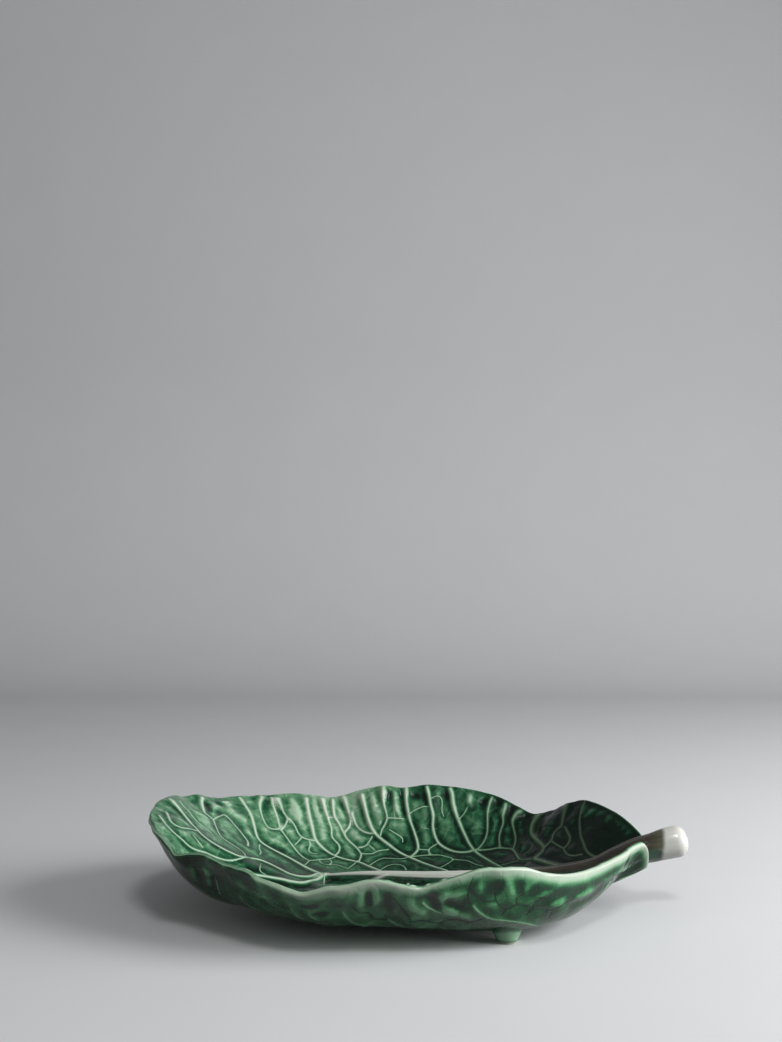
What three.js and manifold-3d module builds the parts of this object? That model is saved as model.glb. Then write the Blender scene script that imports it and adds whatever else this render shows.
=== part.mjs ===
import * as THREE from 'three';
import { mergeVertices } from 'three/addons/utils/BufferGeometryUtils.js';
import Module from 'manifold-3d';

// Serving dish shaped as a cabbage leaf: a glazed earthenware shell with ribbed veins,
// a cut stalk that runs on inside as the midrib, and three small feet.
// Millimetres. +X runs to the stalk, +Y to the back side, +Z up; z = 0 is the table.

// Leaf
const leafHalfLength = 174;   // from the leaf's middle to its tip, and to its stalk end
const leafHalfWidth = 128;
const rimHeight = 64;         // the usual height of the rim at the tip
const floorHeight = 9;        // middle of the wall at its lowest place
const wall = 5.5;
const rimEdge = 4;            // wall at the rim
const rimRoundShare = 0.35;   // how far the rim's rounding stands up, as a share of its thickness
const rimTopShare = 0.55;     // and how much of the thickness its top takes
const floorAlongShare = 0.05; // place of the lowest point, of leafHalfLength
const floorAcrossShare = 0.06; // and of leafHalfWidth

// Stalk and midrib
const stalkReach = 28;        // from the leaf's end to the cut end of the stalk
const stalkRadius = 11;       // at the cut end
const stalkRound = 4;         // rounding of the cut end
const stalkRise = 45;         // height of the stalk's middle near its cut end

// Veins
const veinRadius = 2.6;       // at the midrib
const veinTipShare = 0.5;     // its radius at the rim, as a share of that
const veinSinkShare = 0.2;    // how much of its radius a vein's middle lies under the surface

// Feet
const footHeight = 8;
const footRadius = 6.8;       // at the table
const footTopRadius = 10.5;   // where the foot joins the shell
const footWaistShare = 0.6;   // height of the foot's waist
const footRound = 0.8;

const seatGap = 0.3;          // between pieces that touch
const overrun = 6;            // how far a piece runs on before it is cut to its seat

// Counts
const gridSteps = 28;
const calmSamples = 9;
const stalkSteps = 26;
const stalkEndSteps = 4;
const stalkSides = 16;
const veinSteps = 9;
const veinSides = 5;
const footSides = 24;

// The rim, from the stalk end round the back, the tip and the front:
// shares of leafHalfLength, leafHalfWidth and rimHeight.
const rimShares = [
  [1, 0, 0.47], [1, 0.06, 0.52], [1, 0.11, 0.64], [0.99, 0.14, 0.73], [0.93, 0.27, 0.88],
  [0.87, 0.41, 0.95], [0.8, 0.54, 0.97], [0.73, 0.62, 0.88], [0.68, 0.7, 0.78], [0.61, 0.77, 0.69],
  [0.54, 0.83, 0.74], [0.46, 0.89, 0.83], [0.38, 0.93, 0.89], [0.28, 0.97, 0.93], [0.15, 0.99, 0.96],
  [0.04, 1, 0.92], [-0.05, 1, 0.94], [-0.16, 1, 0.88], [-0.23, 1, 0.82], [-0.29, 0.99, 0.8],
  [-0.35, 0.98, 0.83], [-0.45, 0.97, 0.86], [-0.56, 0.92, 0.86], [-0.69, 0.82, 0.88],
  [-0.79, 0.69, 0.91], [-0.86, 0.57, 0.99], [-0.91, 0.47, 1], [-0.94, 0.36, 1.07],
  [-0.97, 0.22, 1.06], [-0.98, 0.1, 1.02], [-0.98, 0, 1], [-0.96, -0.1, 0.96], [-0.93, -0.2, 0.92],
  [-0.89, -0.31, 0.89], [-0.85, -0.4, 0.84], [-0.82, -0.47, 0.79], [-0.76, -0.53, 0.82],
  [-0.7, -0.59, 0.84], [-0.63, -0.68, 0.8], [-0.55, -0.78, 0.78], [-0.47, -0.87, 0.72],
  [-0.4, -0.93, 0.69], [-0.33, -0.97, 0.67], [-0.25, -0.99, 0.74], [-0.17, -1, 0.77],
  [-0.08, -1, 0.8], [0.01, -1, 0.75], [0.08, -0.99, 0.71], [0.14, -0.99, 0.75], [0.22, -0.99, 0.82],
  [0.3, -0.98, 0.88], [0.39, -0.94, 0.88], [0.46, -0.88, 0.85], [0.54, -0.8, 0.76],
  [0.64, -0.66, 0.69], [0.75, -0.49, 0.68], [0.85, -0.33, 0.72], [0.92, -0.2, 0.75],
  [0.97, -0.12, 0.74], [0.99, -0.09, 0.66], [1, -0.05, 0.53],
];

// Places at even steps round the leaf, in the rim's order: how far out the floor turns up into
// the wall, and how far the wall bellies out under the rim.
const kneeShares = [
  0.77, 0.7, 0.7, 0.72, 0.74, 0.75, 0.74, 0.73, 0.7, 0.64, 0.58, 0.52,
  0.47, 0.75, 0.84, 0.89, 0.84, 0.82, 0.84, 0.88, 0.96, 0.96, 0.96, 0.84,
];
const bellyShares = [
  -0.04, 0, 0, 0, 0, 0, 0, 0, 0, 0, 0, 0,
  0, 0.2, 0.04, 0.04, 0.02, 0, 0, 0, 0.08, 0.21, 0.1, -0.02,
];
const kneeSoftnessShare = 0.085;
const calmSpanShare = 0.056;  // stretch of the turn that calms the rim's waves, each way
const calmEdgeShare = 0.2;    // weight of the ends of that stretch
const waveFade = 5;           // how fast the rim's waves fade towards the floor
const edgeFade = 8;           // how fast the wall thins towards the rim
const probeShare = 0.004;     // step for the surface's directions

// The stalk's middle line from the thin end of the midrib:
// shares of leafHalfLength, leafHalfWidth, stalkRise and stalkRadius (its radius there).
const midribShares = [
  [-0.3, 0.21, 0.34, 0.29], [-0.1, 0.16, 0.35, 0.42], [0.14, 0.13, 0.34, 0.51],
  [0.36, 0.12, 0.35, 0.58], [0.57, 0.1, 0.385, 0.65], [0.68, 0.08, 0.44, 0.71],
  [0.8, 0.06, 0.54, 0.75], [0.88, 0.04, 0.7, 0.79], [0.96, 0.03, 0.84, 0.83],
];
// The free stalk past the leaf: shares of stalkReach past the leaf's end, then as above.
const stalkShares = [[0.15, 0.03, 0.9, 0.9], [0.55, 0.03, 0.97, 0.98], [1, 0.03, 1.02, 1]];

// Veins, each from the midrib outwards: shares of the way from the lowest place to the rim,
// towards the stalk and towards the back.
const veinShares = [
  [[-0.33, 0.2], [-0.43, 0.1], [-0.53, 0.1], [-0.71, 0.04], [-0.83, 0.14], [-0.93, 0.28]],
  [[-0.3, 0.22], [-0.4, 0.28], [-0.53, 0.43], [-0.63, 0.53], [-0.7, 0.67]],
  [[-0.33, 0.16], [-0.44, 0.01], [-0.59, -0.07], [-0.7, -0.2], [-0.8, -0.42]],
  [[-0.12, 0.1], [-0.18, 0.4], [-0.28, 0.5], [-0.39, 0.58], [-0.46, 0.7], [-0.5, 0.82]],
  [[0.2, 0.08], [0.16, 0.38], [0.07, 0.55], [-0.03, 0.67], [-0.12, 0.8], [-0.16, 0.94]],
  [[0.4, 0.06], [0.32, 0.39], [0.2, 0.57], [0.08, 0.7], [0.03, 0.87], [0.03, 0.97]],
  [[0.52, 0.05], [0.45, 0.4], [0.35, 0.59], [0.26, 0.72], [0.22, 0.85], [0.2, 0.96]],
  [[0.6, 0.04], [0.53, 0.42], [0.49, 0.6], [0.49, 0.73], [0.49, 0.84]],
  [[0.7, 0.04], [0.62, 0.34], [0.59, 0.5], [0.59, 0.65], [0.61, 0.76]],
  [[0.8, 0.03], [0.76, 0.3], [0.77, 0.46], [0.79, 0.56]],
  [[-0.22, 0.06], [-0.32, -0.22], [-0.45, -0.42], [-0.56, -0.6], [-0.62, -0.72]],
  [[0, -0.02], [-0.08, -0.32], [-0.2, -0.54], [-0.32, -0.76], [-0.36, -0.9]],
  [[0.22, -0.03], [0.14, -0.36], [0.02, -0.6], [-0.08, -0.82], [-0.1, -0.95]],
  [[0.42, -0.04], [0.34, -0.36], [0.24, -0.6], [0.16, -0.8], [0.14, -0.94]],
  [[0.58, -0.04], [0.5, -0.34], [0.44, -0.56], [0.4, -0.76], [0.4, -0.86]],
  [[0.74, -0.05], [0.68, -0.28], [0.66, -0.48], [0.66, -0.62]],
];

// Feet: name, shares of leafHalfLength and leafHalfWidth, and of footHeight.
const footShares = [
  ['foot_front', 0.405, -0.64, 1],
  ['foot_back', 0.37, 0.66, 1],
  ['foot_tip', -0.4, 0.06, 1.2],
];

const wasm = await Module();
wasm.setup();

const leafGlaze = new THREE.MeshStandardMaterial({ color: 0x3f7d52, roughness: 0.18, metalness: 0 });
const stalkGlaze = new THREE.MeshStandardMaterial({ color: 0xddd9c8, roughness: 0.22, metalness: 0 });
const footGlaze = new THREE.MeshStandardMaterial({ color: 0x5d9a6c, roughness: 0.25, metalness: 0 });

function solidOf(geometry) {
  const bare = geometry.clone();
  bare.deleteAttribute('normal');
  bare.deleteAttribute('uv');
  const merged = mergeVertices(bare);
  const vertProperties = new Float32Array(merged.attributes.position.array);
  const triVerts = new Uint32Array(merged.index.array);
  return new wasm.Manifold(new wasm.Mesh({ numProp: 3, vertProperties, triVerts }));
}

function geometryOf(solid) {
  const mesh = solid.getMesh();
  const geometry = new THREE.BufferGeometry();
  geometry.setAttribute('position', new THREE.BufferAttribute(mesh.vertProperties, 3));
  geometry.setIndex(new THREE.BufferAttribute(mesh.triVerts, 1));
  geometry.computeVertexNormals();
  return geometry;
}

function meshGeometry(points, triangles) {
  const geometry = new THREE.BufferGeometry();
  geometry.setAttribute('position', new THREE.Float32BufferAttribute(points.flatMap((p) => p.toArray()), 3));
  geometry.setIndex(triangles);
  return geometry;
}

function piece(name, geometry, material) {
  const mesh = new THREE.Mesh(geometry, material);
  mesh.name = name;
  return mesh;
}

// Leaf surface

const floorPlace = new THREE.Vector3(
  floorAlongShare * leafHalfLength,
  floorAcrossShare * leafHalfWidth,
  floorHeight,
);

const rimCurve = new THREE.CatmullRomCurve3(
  rimShares.map(([along, across, up]) => (
    new THREE.Vector3(along * leafHalfLength, across * leafHalfWidth, up * rimHeight)
  )),
  true,
  'catmullrom',
);

function ringOf(shares) {
  const curve = new THREE.CatmullRomCurve3(
    shares.map((share) => new THREE.Vector3(share, 0, 0)),
    true,
    'catmullrom',
  );
  return (turn) => curve.getPoint(turn).x;
}

const kneeAt = ringOf(kneeShares);
const bellyAt = ringOf(bellyShares);

function fullTurn(turn) {
  return ((turn % 1) + 1) % 1;
}

// The rim with its waves evened out.
function calmRim(turn) {
  const sum = new THREE.Vector3();
  let total = 0;
  for (let i = 0; i < calmSamples; i++) {
    const offset = (2 * i) / (calmSamples - 1) - 1;
    const weight = 1 - (1 - calmEdgeShare) * offset ** 2;
    sum.addScaledVector(rimCurve.getPoint(fullTurn(turn + offset * calmSpanShare)), weight);
    total += weight;
  }
  return sum.divideScalar(total);
}

function softStep(x) {
  return Math.log1p(Math.exp(-Math.abs(x))) + Math.max(x, 0);
}

// How far the wall has climbed at a share of the way out.
function climb(out, turn) {
  const level = (share) => softStep((share - kneeAt(turn)) / kneeSoftnessShare);
  return (level(out) - level(0)) / (level(1) - level(0));
}

// The middle of the wall without the rim's waves. The belly's curve is at its fullest at three
// quarters of the way out.
function calmPlace(out, turn, rim = calmRim(turn)) {
  const reach = out + 4 * bellyAt(turn) * out ** 3 * (1 - out);
  return new THREE.Vector3(
    floorPlace.x + (rim.x - floorPlace.x) * reach,
    floorPlace.y + (rim.y - floorPlace.y) * reach,
    floorPlace.z + (rim.z - floorPlace.z) * climb(out, turn),
  );
}

// Direction up through the wall, and direction towards the rim along it.
function wallFrame(out, turn) {
  const low = Math.max(out - probeShare, probeShare);
  const high = Math.min(out + probeShare, 1);
  const outwards = calmPlace(high, turn).sub(calmPlace(low, turn)).normalize();
  const around = calmPlace(high, turn + probeShare).sub(calmPlace(high, turn - probeShare)).normalize();
  const up = new THREE.Vector3().crossVectors(outwards, around).normalize();
  return { up, outwards };
}

// A place on the inside (side 1), the middle (0) or the outside (-1) of the wall, given by its
// shares towards the stalk and towards the back. The wall can be grown by a gap on both faces,
// and it is drawn back at the rim to leave room for the rim's rounding.
function leafPlace(along, across, side, grown = 0) {
  const out = Math.min(Math.hypot(along, across), 1);
  const turn = fullTurn(Math.atan2(across, along) / (2 * Math.PI));
  const rim = calmRim(turn);
  const place = calmPlace(out, turn, rim);
  const wave = rimCurve.getPoint(turn).sub(rim).multiplyScalar(out ** waveFade);
  const thickness = wall + (rimEdge - wall) * out ** edgeFade + 2 * grown;
  if (out === 0) return place.add(new THREE.Vector3(0, 0, (side * thickness) / 2));
  const { up, outwards } = wallFrame(out, turn);
  return place.add(wave)
    .addScaledVector(up, (side * thickness) / 2)
    .addScaledVector(outwards, -rimRoundShare * rimEdge * out ** edgeFade);
}

// A square grid drawn out to a disc, so that no cell is a thin slice.
function discShares(i, j) {
  const x = (2 * i) / gridSteps - 1;
  const y = (2 * j) / gridSteps - 1;
  return [x * Math.sqrt(1 - (y * y) / 2), y * Math.sqrt(1 - (x * x) / 2)];
}

// The cells on the edge of the grid, in order, anticlockwise seen from above.
function edgeCells() {
  const cells = [];
  for (let k = 0; k < gridSteps; k++) cells.push([k, 0]);
  for (let k = 0; k < gridSteps; k++) cells.push([gridSteps, k]);
  for (let k = gridSteps; k > 0; k--) cells.push([k, gridSteps]);
  for (let k = gridSteps; k > 0; k--) cells.push([0, k]);
  return cells;
}

function shellGeometry(grown) {
  const points = [];
  const triangles = [];
  const columns = gridSteps + 1;
  const sideCount = columns * columns;
  for (const side of [1, -1]) {
    for (let i = 0; i <= gridSteps; i++) {
      for (let j = 0; j <= gridSteps; j++) points.push(leafPlace(...discShares(i, j), side, grown));
    }
  }
  for (let i = 0; i < gridSteps; i++) {
    for (let j = 0; j < gridSteps; j++) {
      const a = i * columns + j;
      const b = a + columns;
      triangles.push(a, b, b + 1, a, b + 1, a + 1);
      triangles.push(sideCount + a, sideCount + b + 1, sideCount + b);
      triangles.push(sideCount + a, sideCount + a + 1, sideCount + b + 1);
    }
  }
  // The rim is rounded over by two rings between the inside and the outside.
  const cells = edgeCells();
  const ringStart = points.length;
  const standing = rimRoundShare * rimEdge + grown;
  for (const side of [rimTopShare, -rimTopShare]) {
    for (const [i, j] of cells) {
      const [along, across] = discShares(i, j);
      const { outwards } = wallFrame(1, fullTurn(Math.atan2(across, along) / (2 * Math.PI)));
      points.push(leafPlace(along, across, side, grown).addScaledVector(outwards, standing));
    }
  }
  const rings = [
    cells.map(([i, j]) => i * columns + j),
    cells.map((cell, k) => ringStart + k),
    cells.map((cell, k) => ringStart + cells.length + k),
    cells.map(([i, j]) => sideCount + i * columns + j),
  ];
  for (let ring = 0; ring < rings.length - 1; ring++) {
    for (let k = 0; k < cells.length; k++) {
      const next = (k + 1) % cells.length;
      const [a, b] = [rings[ring][k], rings[ring + 1][k]];
      const [c, d] = [rings[ring + 1][next], rings[ring][next]];
      triangles.push(a, b, c, a, c, d);
    }
  }
  return meshGeometry(points, triangles);
}

// Rods

function evenShares(steps) {
  return Array.from({ length: steps + 1 }, (_, i) => i / steps);
}

// A closed rod along a curve, with a section at each share of its length.
function rodGeometry(curve, radiusAt, shares, sides) {
  const points = [];
  const triangles = [];
  const normal = new THREE.Vector3(0, 0, 1);
  for (const share of shares) {
    const middle = curve.getPointAt(share);
    const tangent = curve.getTangentAt(share);
    normal.projectOnPlane(tangent).normalize();
    const binormal = new THREE.Vector3().crossVectors(tangent, normal);
    for (let k = 0; k < sides; k++) {
      const angle = (2 * Math.PI * k) / sides;
      points.push(middle.clone()
        .addScaledVector(normal, radiusAt(share) * Math.cos(angle))
        .addScaledVector(binormal, radiusAt(share) * Math.sin(angle)));
    }
  }
  points.push(curve.getPointAt(0), curve.getPointAt(1));
  const lastRing = (shares.length - 1) * sides;
  const firstCap = lastRing + sides;
  for (let k = 0; k < sides; k++) {
    const next = (k + 1) % sides;
    triangles.push(firstCap, next, k);
    triangles.push(firstCap + 1, lastRing + k, lastRing + next);
    for (let ring = 0; ring < lastRing; ring += sides) {
      const [a, b] = [ring + k, ring + next];
      triangles.push(a, b, b + sides, a, b + sides, a + sides);
    }
  }
  return meshGeometry(points, triangles);
}

// Stalk and midrib

const stalkRows = [
  ...midribShares.map(([along, ...rest]) => [along * leafHalfLength, ...rest]),
  ...stalkShares.map(([past, ...rest]) => [leafHalfLength + past * stalkReach, ...rest]),
];

const stalkCurve = new THREE.CatmullRomCurve3(stalkRows.map(([x, across, up]) => (
  new THREE.Vector3(x, across * leafHalfWidth, up * stalkRise)
)));

// The stalk's radius at a place along the dish, in a straight line between the tables' rows.
function stalkRadiusAt(x) {
  const found = stalkRows.findIndex((row) => row[0] > x);
  const next = found < 0 ? stalkRows.length - 1 : Math.max(found, 1);
  const [startX, , , startRadius] = stalkRows[next - 1];
  const [endX, , , endRadius] = stalkRows[next];
  return stalkRadius * (startRadius + ((endRadius - startRadius) * (x - startX)) / (endX - startX));
}

function stalkGeometry(grown) {
  const length = stalkCurve.getLength();
  const roundShare = stalkRound / length;
  const radiusAt = (share) => {
    const cut = Math.max(stalkRound - (1 - share) * length, 0);
    const rounding = stalkRound - Math.sqrt(stalkRound ** 2 - cut ** 2);
    return stalkRadiusAt(stalkCurve.getPointAt(share).x) - rounding + grown;
  };
  const shares = [
    ...evenShares(stalkSteps).map((share) => share * (1 - roundShare)),
    ...evenShares(stalkEndSteps).slice(1).map((share) => 1 - roundShare * (1 - share) ** 2),
  ];
  return rodGeometry(stalkCurve, radiusAt, shares, stalkSides);
}

const grownShell = solidOf(shellGeometry(seatGap));

function buildStalk() {
  const parts = solidOf(stalkGeometry(0)).subtract(grownShell).decompose();
  const whole = parts.reduce((best, part) => (part.volume() > best.volume() ? part : best));
  return piece('stalk', geometryOf(whole), stalkGlaze);
}

// Leaf with its veins

function veinSolid(places) {
  const curve = new THREE.CatmullRomCurve3(places.map(([along, across]) => {
    const top = leafPlace(along, across, 1);
    const under = leafPlace(along, across, 0);
    const depth = top.distanceTo(under);
    return top.lerp(under, (veinSinkShare * veinRadius) / depth);
  }));
  const radiusAt = (share) => veinRadius * (1 + (veinTipShare - 1) * share);
  return solidOf(rodGeometry(curve, radiusAt, evenShares(veinSteps), veinSides));
}

function buildLeaf() {
  const clearance = solidOf(stalkGeometry(seatGap));
  let leaf = solidOf(shellGeometry(0));
  for (const places of veinShares) leaf = leaf.add(veinSolid(places).subtract(clearance));
  return piece('leaf_shell', geometryOf(leaf), leafGlaze);
}

// Feet

function buildFoot(name, alongShare, acrossShare, heightShare) {
  const height = heightShare * footHeight;
  const profile = [
    [0, 0],
    [footRadius - footRound, 0],
    [footRadius, footRound],
    [(footRadius + footTopRadius) / 2, footWaistShare * height],
    [footTopRadius, height],
    [footTopRadius, height + overrun],
    [0, height + overrun],
  ];
  const geometry = new THREE.LatheGeometry(profile.map(([r, z]) => new THREE.Vector2(r, z)), footSides);
  geometry.rotateX(Math.PI / 2);
  geometry.translate(alongShare * leafHalfLength, acrossShare * leafHalfWidth, 0);
  const parts = solidOf(geometry).subtract(grownShell).decompose();
  const lowest = parts.reduce((best, part) => (
    part.boundingBox().min[2] < best.boundingBox().min[2] ? part : best
  ));
  return piece(name, geometryOf(lowest), footGlaze);
}

// Dish, set with the middle of its outline over the origin

const dish = new THREE.Group();
dish.add(buildLeaf());
dish.add(buildStalk());
for (const row of footShares) dish.add(buildFoot(...row));

const outline = new THREE.Box3().setFromObject(dish);
const middle = outline.getCenter(new THREE.Vector3());
dish.position.set(-middle.x, -middle.y, -outline.min.z);

export default dish;
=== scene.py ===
import math

import bpy
import numpy as np
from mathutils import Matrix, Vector
from mathutils.bvhtree import BVHTree
from mathutils.kdtree import KDTree


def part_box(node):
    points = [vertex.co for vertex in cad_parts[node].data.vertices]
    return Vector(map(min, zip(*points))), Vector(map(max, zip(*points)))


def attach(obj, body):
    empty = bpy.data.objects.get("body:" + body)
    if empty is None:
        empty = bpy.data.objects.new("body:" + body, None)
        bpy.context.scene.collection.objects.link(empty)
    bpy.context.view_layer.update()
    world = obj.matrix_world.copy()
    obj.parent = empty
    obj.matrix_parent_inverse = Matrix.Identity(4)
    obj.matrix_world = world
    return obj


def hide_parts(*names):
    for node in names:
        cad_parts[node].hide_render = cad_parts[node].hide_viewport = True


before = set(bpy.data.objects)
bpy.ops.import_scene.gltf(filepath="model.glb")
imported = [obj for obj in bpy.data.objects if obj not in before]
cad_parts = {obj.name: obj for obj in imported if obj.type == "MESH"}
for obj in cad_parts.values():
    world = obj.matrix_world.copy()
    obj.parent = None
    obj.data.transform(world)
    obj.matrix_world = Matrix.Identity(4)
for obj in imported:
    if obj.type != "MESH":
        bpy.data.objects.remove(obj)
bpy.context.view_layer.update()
mm = 0.001
print("frame loaded, nodes:", ", ".join(sorted(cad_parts)))


class Signal:                        # one socket, so that node sums can be written as plain formulas
    def __init__(self, wiring, socket):
        self.wiring = wiring
        self.socket = socket

    def math(self, operation, first, second=None):
        values = {0: first} if second is None else {0: first, 1: second}
        return self.wiring.add("ShaderNodeMath", {"operation": operation}, values)

    def __add__(self, other):
        return self.math("ADD", self, other)

    def __radd__(self, other):
        return self.math("ADD", other, self)

    def __sub__(self, other):
        return self.math("SUBTRACT", self, other)

    def __rsub__(self, other):
        return self.math("SUBTRACT", other, self)

    def __mul__(self, other):
        return self.math("MULTIPLY", self, other)

    def __rmul__(self, other):
        return self.math("MULTIPLY", other, self)

    def __truediv__(self, other):
        return self.math("DIVIDE", self, other)

    def __rtruediv__(self, other):
        return self.math("DIVIDE", other, self)

    def __neg__(self):
        return self.math("MULTIPLY", self, -1.0)

    def least(self, other):
        return self.math("MINIMUM", self, other)

    def most(self, other):
        return self.math("MAXIMUM", self, other)

    def clamped(self):
        return self.wiring.add("ShaderNodeClamp", inputs={"Value": self})

    def ramp(self, low, high):       # 0 below low, 1 above high, smooth between
        values = {"Value": self, "From Min": low, "From Max": high}
        return self.wiring.add("ShaderNodeMapRange", {"interpolation_type": "SMOOTHSTEP"}, values)

    def bell(self, width):           # 1 at zero, fading on both sides
        share = self / width
        return self.math("EXPONENT", -(share * share))

    def other(self, name):           # another output of the same node
        return Signal(self.wiring, socketOf(self.socket.node.outputs, name))


def socketOf(sockets, key):
    if isinstance(key, int):
        return sockets[key]
    for socket in sockets:
        if socket.identifier == key:
            return socket
    return sockets[key]


class Wiring:                        # adds nodes to one tree
    def __init__(self, tree):
        self.tree = tree
        tree.nodes.clear()

    def add(self, kind, settings=None, inputs=None, output=0):
        node = self.tree.nodes.new(kind)
        for name, value in (settings or {}).items():
            if name == "stops":
                self.setStops(node.color_ramp, value)
            else:
                setattr(node, name, value)
        for key, value in (inputs or {}).items():
            socket = socketOf(node.inputs, key)
            if isinstance(value, Signal):
                self.tree.links.new(value.socket, socket)
            else:
                socket.default_value = value
        if len(node.outputs) == 0:
            return node
        return Signal(self, socketOf(node.outputs, output))

    def setStops(self, ramp, stops):
        while len(ramp.elements) > 1:
            ramp.elements.remove(ramp.elements[-1])
        ramp.elements[0].position = stops[0][0]
        ramp.elements[0].color = stops[0][1]
        for position, colour in stops[1:]:
            element = ramp.elements.new(position)
            element.color = colour

    def mixed(self, factor, first, second):
        settings = {"data_type": "RGBA", "clamp_factor": True}
        values = {"Factor_Float": factor, "A_Color": first, "B_Color": second}
        return self.add("ShaderNodeMix", settings, values, "Result_Color")

    def vector(self, operation, first, second=None, output=0):
        values = {0: first} if second is None else {0: first, 1: second}
        return self.add("ShaderNodeVectorMath", {"operation": operation}, values, output)

    def scaled(self, vector, factor):
        return self.add("ShaderNodeVectorMath", {"operation": "SCALE"}, {0: vector, "Scale": factor})

    def noise(self, vector, scale, detail=2.0, roughness=0.5, output="Fac"):
        values = {"Vector": vector, "Scale": scale, "Detail": detail, "Roughness": roughness}
        return self.add("ShaderNodeTexNoise", {"noise_dimensions": "3D"}, values, output)

    def attribute(self, name, output="Fac"):
        return self.add("ShaderNodeAttribute", {"attribute_name": name}, output=output)

    def part(self, vector, axis):
        return self.add("ShaderNodeSeparateXYZ", inputs={0: vector}, output=axis)

    def bump(self, height):
        values = {"Strength": 1.0, "Distance": 1.0, "Height": height}
        return self.add("ShaderNodeBump", inputs=values, output="Normal")


def tone(red, green, blue):          # a colour as it looks on a screen, 0 to 255
    def light(value):
        share = value / 255
        return share / 12.92 if share <= 0.04045 else ((share + 0.055) / 1.055) ** 2.4
    return (light(red), light(green), light(blue), 1.0)


def makeObject(name, points, faces, edges=()):
    mesh = bpy.data.meshes.new(name)
    mesh.from_pydata(np.asarray(points).tolist(), list(edges), list(faces))
    mesh.update()
    if len(faces):
        mesh.polygons.foreach_set("use_smooth", np.ones(len(faces), dtype=bool))
    piece = bpy.data.objects.new(name, mesh)
    bpy.context.scene.collection.objects.link(piece)
    return piece


def giveAttribute(piece, name, values):
    values = np.asarray(values, dtype=float)
    kind = "FLOAT" if values.ndim == 1 else "FLOAT_VECTOR"
    attribute = piece.data.attributes.new(name, kind, "POINT")
    attribute.data.foreach_set("value" if values.ndim == 1 else "vector", values.ravel())


def unit(vectors):
    return vectors / np.maximum(np.linalg.norm(vectors, axis=-1, keepdims=True), 1e-12)


def curveAt(before, start, end, after, part):    # on a smooth curve from start to end
    curve = 2 * start + (end - before) * part
    curve = curve + (2 * before - 5 * start + 4 * end - after) * part ** 2
    curve = curve + (3 * start - before - 3 * end + after) * part ** 3
    return curve / 2


def smoothRun(rows, spacing, leastSteps=2):      # a smooth run through the rows, in their own units
    rows = np.array(rows, float)
    padded = np.vstack([2 * rows[0] - rows[1], rows, 2 * rows[-1] - rows[-2]])
    places = []
    for k in range(len(rows) - 1):
        steps = max(leastSteps, math.ceil(np.linalg.norm(rows[k + 1] - rows[k]) / spacing))
        places += [curveAt(*padded[k:k + 4], part) for part in np.arange(steps) / steps]
    places.append(rows[-1])
    return np.array(places)


def lengthsAlong(points):
    return np.concatenate([[0], np.cumsum(np.linalg.norm(np.diff(points, axis=0), axis=1))])


def sampledAt(wanted, gone, rows):   # the rows at the wanted lengths
    return np.stack([np.interp(wanted, gone, column) for column in rows.T], -1)


def evenRun(points, spacing):        # the same run with points at even steps
    gone = lengthsAlong(points)
    count = max(2, int(gone[-1] / spacing) + 1)
    return sampledAt(np.linspace(0, gone[-1], count), gone, points)


def tubeFaces(rings, count):         # for rings of count points, then one point for each end
    around = np.arange(count)
    following = np.roll(around, -1)
    lastRing = (rings - 1) * count
    faces = []
    for k in range(rings - 1):
        a, b = k * count + around, k * count + following
        faces += np.stack([a, b, b + count, a + count], -1).tolist()
    for here, after in zip(around.tolist(), following.tolist()):
        faces.append((rings * count, after, here))
        faces.append((rings * count + 1, lastRing + here, lastRing + after))
    return faces


# The camera stands level in front of the dish, as the photographer did.
view = {
    "place": (-0.019, -1.0, 0.267),
    "lens": 50.0,
    "sensor": 36.0,
    "nearest": 0.01,
}


def setCamera():
    camera = bpy.data.cameras.new("camera")
    camera.lens = view["lens"]
    camera.sensor_width = view["sensor"]
    camera.clip_start = view["nearest"]
    stand = bpy.data.objects.new("camera", camera)
    stand.location = view["place"]
    stand.rotation_euler = (math.radians(90), 0, 0)
    bpy.context.scene.collection.objects.link(stand)
    bpy.context.scene.camera = stand


setCamera()
print("camera set")

# The leaf's shape: the same rule as the solid's, with a finer grid.
leaf = {
    "halfLength": 174 * mm,
    "halfWidth": 128 * mm,
    "rimHeight": 64 * mm,
    "floorHeight": 9 * mm,           # middle of the wall at its lowest place
    "wall": 5.5 * mm,
    "rimEdge": 4 * mm,               # wall at the rim
    "rimRound": 0.35,                # how far the rim's rounding stands up, as a share of rimEdge
    "floorAlong": 0.05,              # place of the lowest point, of halfLength and halfWidth
    "floorAcross": 0.06,
    "kneeSoftness": 0.085,
    "bellyGain": 4,
    "calmSpan": 0.056,               # stretch of the turn that calms the rim's waves, each way
    "calmSamples": 9,
    "calmEdge": 0.2,                 # weight of the ends of that stretch
    "waveFade": 5,                   # how fast the rim's waves fade towards the floor
    "edgeFade": 8,                   # how fast the wall thins towards the rim
    "probe": 0.004,                  # step for the surface's directions
    "gridAlong": 320,                # cells of the inside; the outside has half as many each way
    "gridAcross": 220,
    "wallRows": 0.2,                 # how much closer the rows are on the wall than on the floor
    "rimRings": 5,
    "ringSide": 0.8,                 # how square the rim's rounding is, sideways and upwards
    "ringStand": 0.7,
    "middle": 15.87 * mm,            # the leaf's own middle, from the middle of the whole dish
    "boxMargin": 3 * mm,             # where the leaf starts to be eased back into the solid's box
}

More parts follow.
